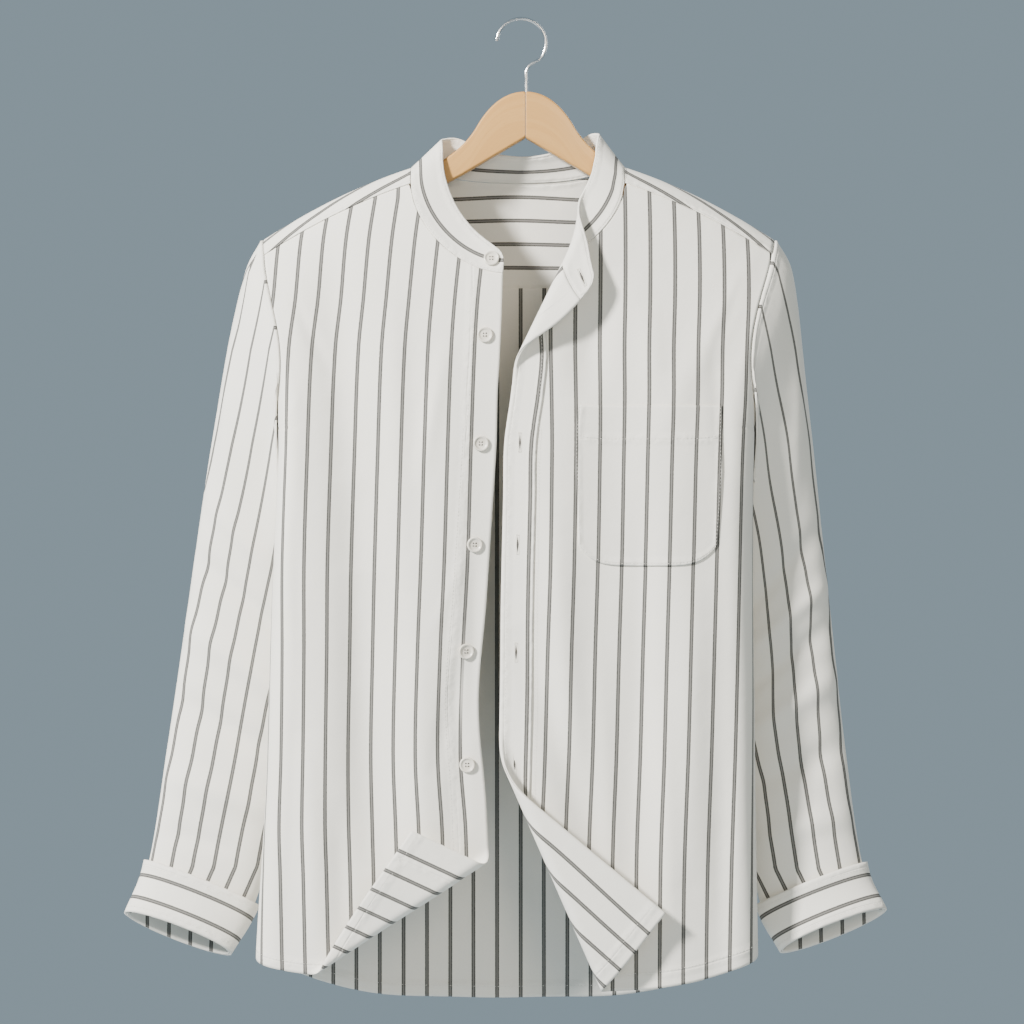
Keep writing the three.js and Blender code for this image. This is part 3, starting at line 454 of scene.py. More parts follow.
def neck_w(x):
    """How far back over the ridge the back neckline lies."""
    ridge = ridge_down(x)
    t = np.abs(x - (NECK_X["right"] + NECK_X["left"]) / 2) / ((NECK_X["left"] - NECK_X["right"]) / 2)
    down = lerp(NECK_BACK, ridge, clamp(t) ** 4)
    return np.sqrt(np.maximum(0, down - ridge) / (YOKE_BACK - ridge))


def yoke_starts():
    """Front edge of the yoke: shoulder seam, side of the neck, back neckline, and the same back."""
    shoulder = np.linspace(0, 1, 41)[:-1]
    rise = np.linspace(-1, 0, 8)[:-1]
    round_neck = lerp(NECK_X["right"], NECK_X["left"], (1 - np.cos(np.linspace(0, np.pi, 61))) / 2)
    x = np.concatenate([lerp(TIP["right"], NECK_X["right"], shoulder), np.full(7, NECK_X["right"]), round_neck,
                        np.full(7, NECK_X["left"]), lerp(TIP["left"], NECK_X["left"], shoulder)[::-1]])
    w = np.concatenate([np.full(40, -1.0), rise, neck_w(round_neck), rise[::-1], np.full(40, -1.0)])
    return x, w


def yoke_grid(rows):
    """Grid of the yoke: straight columns from its front edge to even places along its back seam."""
    start_x, start_w = yoke_starts()
    v = np.linspace(0, 1, rows)[:, None]
    w = lerp(start_w[None], 1.0, v)
    first, last = yoke_end_x("right", w), yoke_end_x("left", w)
    even = lerp(first, last, np.linspace(0, 1, len(start_x))[None])
    right = clamp((NECK_X["right"] - start_x) / (NECK_X["right"] - TIP["right"]))
    left = clamp((start_x - NECK_X["left"]) / (TIP["left"] - NECK_X["left"]))
    start = start_x + right * (first - TIP["right"]) + left * (last - TIP["left"])
    return yoke_point(lerp(start, even, v), w)


# %% Sleeves
SLEEVE_CREASES = {
    "right": [
        # from turn, from share, to turn, to share, width in mm, height
        (0.02, 0.54, 0.44, 0.47, 14, -4.6), (0.02, 0.65, 0.44, 0.59, 15, 4.8), (0.03, 0.74, 0.44, 0.70, 12, -4.2),
        (0.02, 0.83, 0.44, 0.79, 12, 3.8), (0.04, 0.89, 0.34, 0.86, 8, -2.4), (0.06, 0.44, 0.42, 0.38, 15, 3.2),
        (0.05, 0.14, 0.18, 0.44, 12, 2.2), (0.30, 0.10, 0.24, 0.36, 10, -2.4), (0.40, 0.20, 0.30, 0.40, 10, 2.4),
        (0.60, 0.50, 0.97, 0.58, 14, 4.0), (0.60, 0.62, 0.97, 0.68, 13, -3.8), (0.62, 0.73, 0.97, 0.79, 12, 3.8),
        (0.60, 0.84, 0.96, 0.88, 9, -2.6), (0.60, 0.24, 0.86, 0.42, 14, 2.6),
    ],
    "left": [
        (0.02, 0.50, 0.44, 0.42, 14, -4.2), (0.02, 0.59, 0.44, 0.50, 14, 4.6), (0.03, 0.65, 0.44, 0.58, 11, -4.0),
        (0.02, 0.72, 0.44, 0.66, 13, 4.8), (0.03, 0.80, 0.44, 0.75, 11, -4.2), (0.04, 0.87, 0.40, 0.83, 9, 3.0),
        (0.05, 0.12, 0.18, 0.40, 12, 2.2), (0.28, 0.12, 0.24, 0.34, 10, -2.4), (0.42, 0.22, 0.32, 0.42, 10, 2.4),
        (0.60, 0.48, 0.97, 0.56, 14, 3.8), (0.60, 0.60, 0.97, 0.66, 13, -3.8), (0.62, 0.71, 0.97, 0.77, 12, 3.8),
        (0.60, 0.83, 0.96, 0.87, 9, -2.6), (0.60, 0.26, 0.86, 0.40, 14, 2.6),
    ],
}
RING_MM, SLEEVE_MM = 270, 640


def armhole_half(face, side, steps=40):
    """Armhole seam from the ridge to the underarm, down the front or the back, with arc shares."""
    sign = -1 if face == "front" else 1
    top = ridge_down(TIP[side]) + YOKE_FRONT if face == "front" else YOKE_BACK
    w = sign * np.linspace(0, 1, steps)
    upper = yoke_point(yoke_end_x(side, w), w)
    down = lerp(top, UNDERARM, np.sin(np.linspace(0, np.pi / 2, 2 * steps))[1:])
    x, y = side_point(side, down, side_end(face, side, down))
    line = np.concatenate([upper, np.stack([x, y, -down], axis=-1)])
    lengths = np.concatenate([[0], np.cumsum(np.linalg.norm(np.diff(line, axis=0), axis=1))])
    return line, lengths / lengths[-1]


ARMHOLE = {(face, side): armhole_half(face, side) for face in ("front", "back") for side in SIGN}


def armhole_point(side, turn):
    """Point of the armhole at a turn from the top round the front, the underarm and the back."""
    points = []
    for face, share in (("front", 2 * turn), ("back", 2 - 2 * turn)):
        line, shares = ARMHOLE[face, side]
        points.append(np.stack([np.interp(clamp(share), shares, line[:, k]) for k in range(3)], axis=-1))
    return np.where((turn <= 0.5)[..., None], points[0], points[1])


def clear_of_body(side, p):
    """Points pushed out sideways until they clear the body's side by a small gap."""
    sign = SIGN[side]
    reach = np.full(p.shape[:-1], -1e9)
    down = -p[..., 2]
    last_x, last_y = side_point(side, down, 0.0)
    for t in np.linspace(0, 1, 33)[1:]:
        x, y = side_point(side, down, t)
        inside = (p[..., 1] >= last_y) & (p[..., 1] <= y)
        at = lerp(last_x, x, (p[..., 1] - last_y) / np.maximum(y - last_y, 1e-6))
        reach = np.where(inside, np.maximum(reach, sign * at), reach)
        last_x, last_y = x, y
    out = p.copy()
    out[..., 0] = sign * np.maximum(sign * p[..., 0], reach + SLEEVE_CLEAR)
    return out


def sleeve_form(side, turn, share):
    """Point of a plain sleeve: an oval ring at its place along the arm, eased into the armhole."""
    rows = SLEEVE[side]
    out_x, out_down, in_x, in_down, mid_y, half = (
        read(rows, name, share) for name in ("out_x", "out_down", "in_x", "in_down", "mid_y", "half"))
    angle = 2 * np.pi * turn
    across = (1 + np.cos(angle)) / 2
    tilt = math.radians(TILT["degrees"]) * ease((share - TILT["from"]) / (1 - TILT["from"]))
    thick = half * np.sin(angle)
    p = np.stack([lerp(in_x, out_x, across), mid_y - thick * np.cos(tilt),
                  -lerp(in_down, out_down, across) + thick * np.sin(tilt)], axis=-1)
    head = armhole_point(side, turn)
    first = {name: rows[name][0] for name in ("out_x", "out_down", "in_x", "in_down", "mid_y", "half")}
    keep = np.where(share < HEAD_SHARE, 1 - ease(share / HEAD_SHARE), 0)[..., None]
    shift = np.stack([
        head[..., 0] + SIGN[side] * SLEEVE_LIP - lerp(first["in_x"], first["out_x"], across),
        head[..., 1] - first["mid_y"] + first["half"] * np.sin(angle),
        head[..., 2] + lerp(first["in_down"], first["out_down"], across),
    ], axis=-1)
    p = p + keep * shift
    return np.where((share > 0)[..., None], clear_of_body(side, p), p)


def sleeve_point(side, turn, share):
    """Point of a sleeve: the plain form moved along its normal by the creases of the hanging arm."""
    turn, share = np.broadcast_arrays(turn, share)
    p = sleeve_form(side, turn, share)
    rise = creases(turn * RING_MM, share * SLEEVE_MM, [
        (t0 * RING_MM, s0 * SLEEVE_MM, t1 * RING_MM, s1 * SLEEVE_MM, width, height)
        for t0, s0, t1, s1, width, height in SLEEVE_CREASES[side]])
    quiet = ease((CUFF["from"] - 0.01 - share) / 0.04) * ease(share / 0.08)
    angle = 2 * np.pi * turn
    outward = np.stack([SIGN[side] * np.cos(angle) * 0.6, -np.sin(angle), 0 * angle], axis=-1)
    size = np.linalg.norm(outward, axis=-1, keepdims=True)
    moved = p + outward / size * (rise * quiet)[..., None]
    return np.where((share > 0)[..., None], clear_of_body(side, moved), p)


# %% Collar
def neck_seam():
    """Neckline from the right front end round the back of the neck to the left front end."""
    ends = {}
    for side in SIGN:
        share = np.linspace(0, 0.4, 161)
        down = front_top_down(side, share)
        x, y, _ = on_lines(side, share, down)
        p = np.stack([x, y, -down], axis=-1)
        ends[side] = p[np.abs(x) < abs(NECK_X[side])]
    rise = np.linspace(-1, 0, 9)
    x = lerp(NECK_X["right"], NECK_X["left"], (1 - np.cos(np.linspace(0, np.pi, 121))) / 2)[1:-1]
    sides = {side: yoke_point(np.full(9, float(NECK_X[side])), rise) for side in SIGN}
    line = np.concatenate([ends["right"], sides["right"], yoke_point(x, neck_w(x)), sides["left"][::-1],
                           ends["left"][::-1]])
    lengths = np.concatenate([[0], np.cumsum(np.linalg.norm(np.diff(line, axis=0), axis=1))])
    return line, lengths


NECK_LINE, NECK_LENGTHS = neck_seam()
NECK_LENGTH = NECK_LENGTHS[-1]


def collar_point(at, up):
    """Point of the collar band: from the neckline at up 0 along the lean to the free edge at up 1."""
    at, up = np.broadcast_arrays(at, up)
    base = np.stack([np.interp(at * NECK_LENGTH, NECK_LENGTHS, NECK_LINE[:, k]) for k in range(3)], axis=-1)
    lean = np.stack([read(LEAN, name, at) for name in ("x", "y", "rise")], axis=-1)
    corner = 1 - clamp(np.minimum(at, 1 - at) * NECK_LENGTH / COLLAR_ROUND["radius"])
    height = up * (1 - COLLAR_ROUND["cut"] * (1 - np.sqrt(1 - corner**2)))
    lift = height + COLLAR_LIFT / np.linalg.norm(lean, axis=-1)
    p = base + lean * lift[..., None]
    return np.where((at > COLLAR_ROLL_FROM)[..., None], roll(p, LAPEL), p)


print("neckline:", round(float(NECK_LENGTH)), "mm")

# %% [markdown]
# ## From points to cloth
#
# A grid of points is moved along its own normals to lie inside, on or over the solid's wall, and a
# solidify modifier gives it its thickness. UV maps are in metres: U runs across the stripes, with a
# stripe at each whole period, and V runs along them. "plain" is 1 where the stripe stops, "seam" is
# the distance in millimetres from the nearest row of stitches, and "stretch" is the cloth's length
# for each unit of U, which keeps a stripe's own width where the stripes are set wider or closer.

# %% Cloth meshes
PERIOD = 21.8
pieces, forms = {}, {}


def normals(points, sign, wrap=False):
    """Unit normals of a grid, from the cross product of its differences both ways."""
    p = np.concatenate([points[:, -2:-1], points, points[:, 1:2]], axis=1) if wrap else points
    n = np.cross(np.gradient(p, axis=1), np.gradient(p, axis=0)) * sign
    n /= np.maximum(np.linalg.norm(n, axis=-1, keepdims=True), 1e-9)
    return n[:, 1:-1] if wrap else n


def away_from_middle(points):
    """Sign that turns a tube's normals away from the middle of its rings."""
    from_middle = points - points[:, :-1].mean(axis=1, keepdims=True)
    return 1 if (normals(points, 1, True) * from_middle).sum() > 0 else -1


def grid_mesh(name, points, sign=1, wrap=False, uv=None, attributes=None):
    """Mesh of a grid of points in millimetres, with its UV map and numbers on its points."""
    rows, cols = points.shape[:2]
    used = cols - 1 if wrap else cols
    ids = np.arange(rows * used).reshape(rows, used)
    ring = np.concatenate([ids, ids[:, :1]], axis=1) if wrap else ids
    order = (np.s_[:-1, :-1], np.s_[:-1, 1:], np.s_[1:, 1:], np.s_[1:, :-1])
    order = order if sign > 0 else (order[0], order[3], order[2], order[1])
    quads = np.stack([ring[k] for k in order], axis=-1).reshape(-1, 4)
    mesh = bpy.data.meshes.new(name)
    mesh.from_pydata((points[:, :used].reshape(-1, 3) * MM).tolist(), [], quads.tolist())
    if uv is not None:
        corners = np.stack([uv[k] for k in order], axis=-2).reshape(-1, 2) * MM
        mesh.uv_layers.new(name="UVMap").data.foreach_set("uv", corners.ravel())
    for key, values in (attributes or {}).items():
        layer = mesh.attributes.new(key, "FLOAT", "POINT")
        layer.data.foreach_set("value", np.broadcast_to(values, (rows, cols))[:, :used].ravel())
    mesh.shade_smooth()
    return mesh


def place(name, mesh, material, slot, nodes=()):
    """Object of a mesh that rides on the part and stands for some CAD nodes."""
    piece = bpy.data.objects.new(name, mesh)
    scene.collection.objects.link(piece)
    mesh.materials.append(material)
    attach(piece, "root")
    if nodes:
        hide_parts(*nodes)
    pieces[name] = piece
    return piece


def cloth(name, points, uv, sign, thickness, outward, node, wrap=False, **attributes):
    """Cloth shell on a grid of points, moved out along its normals, with its wall on both sides."""
    forms[name] = points
    moved = points + normals(points, sign, wrap) * outward
    values = {"plain": 0.0, "seam": 20.0, "stretch": 1.0, **attributes}
    mesh = grid_mesh(name, moved, sign, wrap, uv, values)
    piece = place(name, mesh, cloth_material, "shirt_cloth", (node,))
    shell = piece.modifiers.new("wall", "SOLIDIFY")
    shell.thickness = thickness * MM
    shell.offset = 0
    return piece


def arc(points, axis):
    """Length along a grid's rows or columns, from its first point."""
    steps = np.linalg.norm(np.diff(points, axis=axis), axis=-1)
    first = np.zeros_like(np.take(steps, [0], axis=axis))
    return np.concatenate([first, np.cumsum(steps, axis=axis)], axis=axis)


def area_of(points):
    """Area of a grid of points in square metres."""
    a, b = points[1:, 1:] - points[:-1, :-1], points[1:, :-1] - points[:-1, 1:]
    return float(np.linalg.norm(np.cross(a, b), axis=-1).sum() / 2) * MM * MM


# %% [markdown]
# ## Materials
#
# The cloth is a plain weave: cream, with charcoal stripes of two dark lines and a greyer core. The
# weave is two stretched noises, and a larger noise gives the uneven hand of washed cotton.

# %% Node helpers
def new_material(name):
    """Empty node material and its principled shader."""
    material = bpy.data.materials.new(name)
    material.use_nodes = True
    return material, material.node_tree, material.node_tree.nodes["Principled BSDF"]


def node(tree, kind, inputs=(), **settings):
    """New node with some settings and inputs, each a number, a colour or another node's socket."""
    made = tree.nodes.new(kind)
    for key, value in settings.items():
        setattr(made, key, value)
    for key, value in dict(inputs).items():
        if isinstance(value, bpy.types.NodeSocket):
            tree.links.new(value, made.inputs[key])
        else:
            made.inputs[key].default_value = value
    return made


def maths(tree, operation, a, b=0.0, c=0.0):
    """Socket of one sum on numbers or sockets."""
    return node(tree, "ShaderNodeMath", {0: a, 1: b, 2: c}, operation=operation).outputs[0]


def band(tree, value, low, high):
    """1 where a value is under low, falling smoothly to 0 at high."""
    made = node(tree, "ShaderNodeMapRange", {0: value, 1: low, 2: high, 3: 1.0, 4: 0.0},
                interpolation_type="SMOOTHSTEP")
    return made.outputs[0]


def mix(tree, factor, a, b):
    """Socket of two colours mixed."""
    made = node(tree, "ShaderNodeMix", {0: factor, 6: a, 7: b}, data_type="RGBA")
    return made.outputs[2]


def noise(tree, vector, scale, detail=3.0):
    """Socket of a noise's value."""
    return node(tree, "ShaderNodeTexNoise", {"Vector": vector, "Scale": scale, "Detail": detail}).outputs[0]


def bump(tree, height, distance, strength, before=None):
    """Socket of a normal, after an earlier bump if there is one."""
    inputs = {"Height": height, "Distance": distance, "Strength": strength}
    if before is not None:
        inputs["Normal"] = before
    return node(tree, "ShaderNodeBump", inputs).outputs[0]


# %% Cloth material
CREAM = (0.87, 0.835, 0.76, 1)
CORE = (0.085, 0.082, 0.078, 1)
DARK = (0.022, 0.021, 0.020, 1)


def make_cloth():
    """Striped cotton, from the UV map in metres and the numbers on the points."""
    material, tree, shader = new_material("shirt_cloth")
    uv = node(tree, "ShaderNodeUVMap", uv_map="UVMap").outputs[0]
    split = node(tree, "ShaderNodeSeparateXYZ", {0: uv})
    u, v = split.outputs[0], split.outputs[1]
    turns = maths(tree, "DIVIDE", u, PERIOD * MM)
    offset = maths(tree, "ABSOLUTE", maths(tree, "SUBTRACT", turns, maths(tree, "ROUND", turns)))
    stretch = node(tree, "ShaderNodeAttribute", attribute_name="stretch").outputs["Fac"]
    away = maths(tree, "MULTIPLY", maths(tree, "MULTIPLY", offset, PERIOD), stretch)
    fine = node(tree, "ShaderNodeVectorMath", {0: uv, 1: (3200.0, 420.0, 1.0)}, operation="MULTIPLY").outputs[0]
    cross = node(tree, "ShaderNodeVectorMath", {0: uv, 1: (420.0, 3200.0, 1.0)}, operation="MULTIPLY").outputs[0]
    warp = noise(tree, fine, 1.0, 1.0)
    weft = noise(tree, cross, 1.0, 1.0)
    weave = maths(tree, "ADD", warp, weft)
    ragged = maths(tree, "ADD", away, maths(tree, "MULTIPLY", maths(tree, "SUBTRACT", weft, 0.5), 0.5))
    line = band(tree, maths(tree, "ABSOLUTE", maths(tree, "SUBTRACT", ragged, 1.3)), 0.35, 0.80)
    core = band(tree, ragged, 1.0, 1.4)
    plain = node(tree, "ShaderNodeAttribute", attribute_name="plain").outputs["Fac"]
    shown = maths(tree, "SUBTRACT", 1.0, plain)
    worn = maths(tree, "MULTIPLY_ADD", warp, 0.5, 0.62)
    line = maths(tree, "MULTIPLY", maths(tree, "MULTIPLY", line, shown), worn)
    core = maths(tree, "MULTIPLY", maths(tree, "MULTIPLY", core, shown), 0.85)
    place_in = node(tree, "ShaderNodeTexCoord").outputs["Object"]
    mottle = noise(tree, place_in, 9.0, 4.0)
    shade = maths(tree, "MULTIPLY_ADD", mottle, 0.10, 0.95)
    threads = maths(tree, "MULTIPLY_ADD", weave, 0.10, 0.90)
    tone = maths(tree, "MULTIPLY", shade, threads)
    cream = node(tree, "ShaderNodeVectorMath", {0: CREAM[:3], 3: tone}, operation="SCALE").outputs[0]
    striped = mix(tree, line, mix(tree, core, cream, CORE), DARK)
    tree.links.new(striped, shader.inputs["Base Color"])
    shader.inputs["Roughness"].default_value = 0.86
    shader.inputs["Sheen Weight"].default_value = 0.12
    shader.inputs["Sheen Roughness"].default_value = 0.45
    shader.inputs["Specular IOR Level"].default_value = 0.25
    seam = node(tree, "ShaderNodeAttribute", attribute_name="seam").outputs["Fac"]
    dent = maths(tree, "MULTIPLY", band(tree, seam, 0.2, 1.3), -1.0)
    pucker_place = node(tree, "ShaderNodeVectorMath", {0: place_in, 1: (150.0, 150.0, 150.0)},
                        operation="MULTIPLY").outputs[0]
    pucker = maths(tree, "MULTIPLY", noise(tree, pucker_place, 1.0, 1.0), band(tree, seam, 1.0, 7.0))
    soft = noise(tree, place_in, 34.0, 3.0)
    normal = bump(tree, soft, 0.0022, 0.35)
    normal = bump(tree, pucker, 0.0016, 0.6, normal)
    normal = bump(tree, dent, 0.0003, 0.8, normal)
    normal = bump(tree, weave, 0.00006, 0.5, normal)
    tree.links.new(normal, shader.inputs["Normal"])
    return material


cloth_material = make_cloth()

# %% Other materials
def make_plastic():
    """Cream button shell: cloudy, with a slight gloss."""
    material, tree, shader = new_material("button")
    where = node(tree, "ShaderNodeTexCoord").outputs["Object"]
    cloud = noise(tree, where, 160.0, 3.0)
    tree.links.new(mix(tree, cloud, (0.62, 0.56, 0.46, 1), (0.86, 0.82, 0.74, 1)), shader.inputs["Base Color"])
    shader.inputs["Roughness"].default_value = 0.28
    shader.inputs["Coat Weight"].default_value = 0.3
    tree.links.new(bump(tree, noise(tree, where, 900.0, 2.0), 0.00005, 0.3), shader.inputs["Normal"])
    return material


def make_thread():
    """Sewing thread: matt cream with a fine twist."""
    material, tree, shader = new_material("thread")
    where = node(tree, "ShaderNodeTexCoord").outputs["Object"]
    twist = noise(tree, where, 2400.0, 1.0)
    tree.links.new(mix(tree, twist, (0.66, 0.63, 0.56, 1), (0.90, 0.88, 0.82, 1)), shader.inputs["Base Color"])
    shader.inputs["Roughness"].default_value = 0.75
    return material


def make_painted_shade():
    """Painted shade for the inside of a buttonhole or a button's hole: a dark colour, varied by a fine noise, where
    the cut holds only shade.
    """
    material, tree, shader = new_material("slit")
    where = node(tree, "ShaderNodeTexCoord").outputs["Object"]
    # painted shade: the noise only varies how dark the shade in the hole is
    depth = noise(tree, where, 700.0, 2.0)
    tree.links.new(mix(tree, depth, (0.030, 0.026, 0.022, 1), (0.12, 0.11, 0.10, 1)), shader.inputs["Base Color"])
    shader.inputs["Roughness"].default_value = 0.9
    return material


def make_wood():
    """Lacquered pale beech: growth lines and short flecks along the arm, from the UV map."""
    material, tree, shader = new_material("hanger_wood")
    uv = node(tree, "ShaderNodeUVMap", uv_map="UVMap").outputs[0]
    long_way = node(tree, "ShaderNodeVectorMath", {0: uv, 1: (5.0, 110.0, 1.0)}, operation="MULTIPLY").outputs[0]
    fleck_way = node(tree, "ShaderNodeVectorMath", {0: uv, 1: (90.0, 1500.0, 1.0)}, operation="MULTIPLY").outputs[0]
    grain = noise(tree, long_way, 1.0, 4.0)
    fleck = noise(tree, fleck_way, 1.0, 2.0)
    rings = maths(tree, "SINE", maths(tree, "MULTIPLY", grain, 20.0))
    tone = maths(tree, "MULTIPLY_ADD", rings, 0.16, 0.5)
    light = mix(tree, tone, (0.50, 0.25, 0.065, 1), (0.60, 0.33, 0.10, 1))
    flecks = band(tree, fleck, 0.30, 0.42)
    tree.links.new(mix(tree, maths(tree, "MULTIPLY", flecks, 0.25), light, (0.36, 0.16, 0.035, 1)),
                   shader.inputs["Base Color"])
    shader.inputs["Roughness"].default_value = 0.38
    shader.inputs["Coat Weight"].default_value = 0.25
    shader.inputs["Coat Roughness"].default_value = 0.2
    tree.links.new(bump(tree, fleck, 0.00008, 0.4), shader.inputs["Normal"])
    return material


def make_steel():
    """Polished wire with fine drawing marks and faint handling wear."""
    material, tree, shader = new_material("hook_steel")
    where = node(tree, "ShaderNodeTexCoord").outputs["Object"]
    wear = noise(tree, where, 120.0, 3.0)
    tree.links.new(mix(tree, wear, (0.62, 0.63, 0.64, 1), (0.80, 0.81, 0.82, 1)), shader.inputs["Base Color"])
    shader.inputs["Metallic"].default_value = 1.0
    tree.links.new(maths(tree, "MULTIPLY_ADD", wear, 0.14, 0.12), shader.inputs["Roughness"])
    tree.links.new(bump(tree, noise(tree, where, 1500.0, 1.0), 0.00002, 0.3), shader.inputs["Normal"])
    return material


# The slit material is painted shade for the buttonholes and the button holes.
plastic_material, thread_material, painted_shade_material = make_plastic(), make_thread(), make_painted_shade()
wood_material, steel_material = make_wood(), make_steel()
print("materials:", len(bpy.data.materials))

# %% [markdown]
# ## The cloth pieces
#
# The stripes keep their real spacing from the front edges, and lie a little closer on the fronts
# where they are seen at a slant. The rows of stitches are 8 mm inside a hem and 1.5 to 2 mm inside
# a seam.

# %% Fronts and back
STRIPES = {
    "right": table("down first spacing", [
        (163, 32.0, 20.9), (200, 36.6, 20.9), (254, 42.7, 20.5),
        (299, 45.5, 20.8), (390, 48.8, 20.9), (490, 51.8, 20.9),
        (571, 56.0, 20.3), (662, 58.4, 20.1), (726, 53.8, 20.9), (771, 52.5, 20.9), (880, 50.2, 20.9),
    ]),
    "left": table("down first spacing", [
        (163, 23.0, 22.4), (209, 22.6, 22.4), (254, 22.3, 22.3), (299, 22.3, 22.0),
        (345, 23.2, 21.8), (390, 23.7, 21.5), (490, 22.4, 21.3),
        (571, 19.8, 21.35), (662, 17.6, 21.3), (753, 14.1, 21.35), (843, 15.0, 21.0), (880, 15.0, 21.0),
    ]),
}
FRONT_STEP = 2.4
HEM_STITCH = {"right": 8.0, "left": 13.0}
STAND_WIDTH = 27.0


def stripe_u(side, along, down):
    """U in millimetres at a distance from the front edge: whole periods from the first stripe on."""
    first, spacing = (read(STRIPES[side], name, down) for name in ("first", "spacing"))
    from_middle = SIGN[side] * read(BODY, side + "_edge", down) + along
    return (from_middle - first) / spacing * PERIOD


def front_surface(side):
    """A front as a function of the share of its width and of its depth, from 0 to 1 each."""
    return lambda share, t: front_point(side, share, front_down(side, share, t))


def steady_share(side, share, down):
    """Share of the width, eased where the armhole ends, so that no column of the grid steps aside."""
    rows = np.arange(120.0, 920.0, 4.0)
    lengths = on_lines(side, np.ones_like(rows), rows)[2]
    bell = np.exp(-(np.linspace(-2.5, 2.5, 21) ** 2))
    smooth = np.convolve(np.pad(lengths, 10, mode="edge"), bell / bell.sum(), mode="valid")
    wanted = np.interp(down, rows, smooth) / on_lines(side, share, down)[2]
    return share * lerp(wanted, 1.0, ease((share - 0.84) / 0.16))


front_area = {}
for side in SIGN:
    surface_sign = 1 if side == "right" else -1
    share = np.linspace(0, 1, int(232 / FRONT_STEP))[None]
    t = np.linspace(0, 1, int(640 / FRONT_STEP))[:, None]
    share, t = np.broadcast_arrays(share, t)
    down = front_down(side, share, t)
    share = steady_share(side, share, down)
    points = front_point(side, share, down)
    along = share * on_lines(side, share, down)[2]
    length = arc(points, 0)
    uv = np.stack([stripe_u(side, along, down), length], axis=-1)
    hem = np.abs(length[-1] - length - HEM_STITCH[side])
    stand = np.abs(along - STAND_WIDTH) if side == "right" else np.full(along.shape, 20.0)
    seam = np.minimum(hem, stand)
    cloth(f"cloth_front_{side}", points, uv, surface_sign, 0.9, -0.75, f"front_{side}",
          plain=ease((16 - along) / 2), seam=seam)
    front_area[side] = area_of(points)

share, t = np.broadcast_arrays(np.linspace(0, 1, 170)[None], np.linspace(0, 1, 230)[:, None])
down = back_down(share, t)
points = back_point(share, down)
middle_x, _, back_length = on_lines("back", np.full(share.shape, 0.5), down)
across = (share - 0.5) * back_length + middle_x + 4.2
length = arc(points, 0)
cloth("cloth_back", points, np.stack([across, length], axis=-1), 1, 0.9, -0.75, "back",
      seam=np.abs(length[-1] - length - 10))
back_area = area_of(points)
print("fronts and back:", {k: round(v, 3) for k, v in front_area.items()}, round(back_area, 3), "m2")

# %% Yoke
YOKE_STRIPE = 19.4
YOKE_SPREAD = table("aside ridge front", [
    (0, 0, 0), (99, 0, 0.07), (125, 0.03, 0.29), (146, 0.06, 0.49), (175, 0.36, 0.67), (189, 0.52, 0.84),
    (216, 0.80, 1.17), (230, 0.95, 1.30),
])
points = yoke_grid(64)
from_back = arc(points[::-1], 0)[::-1]
across = points[..., 0]
w = lerp(yoke_starts()[1][None], 1.0, np.linspace(0, 1, 64)[:, None])
aside = np.abs(across - (NECK_X["right"] + NECK_X["left"]) / 2)
ridge, front = read(YOKE_SPREAD, "ridge", aside), read(YOKE_SPREAD, "front", aside)
u = from_back - YOKE_STRIPE + PERIOD * np.where(w < 0, lerp(ridge, front, -w), ridge * (1 - w) ** 2)
slope = np.hypot(np.gradient(u, axis=0) / np.maximum(np.gradient(arc(points, 0), axis=0), 0.01),
                 np.gradient(u, axis=1) / np.maximum(np.gradient(arc(points, 1), axis=1), 0.01))
seam = np.minimum(np.abs(from_back - 1.8), np.abs(arc(points, 0) - 1.8))
cloth("cloth_yoke", points, np.stack([u, across], axis=-1), 1, 0.9, 0.1, "yoke", seam=seam,
      stretch=1 / np.clip(slope, 0.4, 1.4))

# %% Sleeves and cuffs
SLEEVE_STRIPES = {
    "right": table("down first spacing", [
        (202, 16, 17.0), (281, 23, 17.5), (390, 21.5, 18.3), (485, 13.5, 20.0), (562, 9, 20.0), (626, 7, 19.8),
        (680, 6, 19.6), (753, 3.5, 19.4), (850, 2, 19.4),
    ]),
    "left": table("down first spacing", [
        (202, 13.0, 24.0), (227, 12.5, 24.0), (281, 8.5, 24.3), (326, 8.0, 22.0), (372, 4.0, 21.6),
        (417, 4.0, 20.8), (472, 2.0, 19.4), (526, 0.5, 19.6), (580, 3.5, 18.8), (635, 3.0, 20.3),
        (707, 5.0, 18.9), (753, 3.5, 19.4), (850, 2.0, 19.4),
    ]),
}
sleeve_area = {}
q = np.linspace(-0.5, 0.5, 161)[None]
TURN = np.mod(q, 1.0)


def from_outer_fold(side, p):
    """Sideways distance from the sleeve's outer fold at the same height, below 0 behind the fold."""
    fold = np.interp(-p[..., 2], SLEEVE[side]["out_down"], SLEEVE[side]["out_x"])
    return np.sign(q) * np.abs(SIGN[side] * (fold - p[..., 0]))


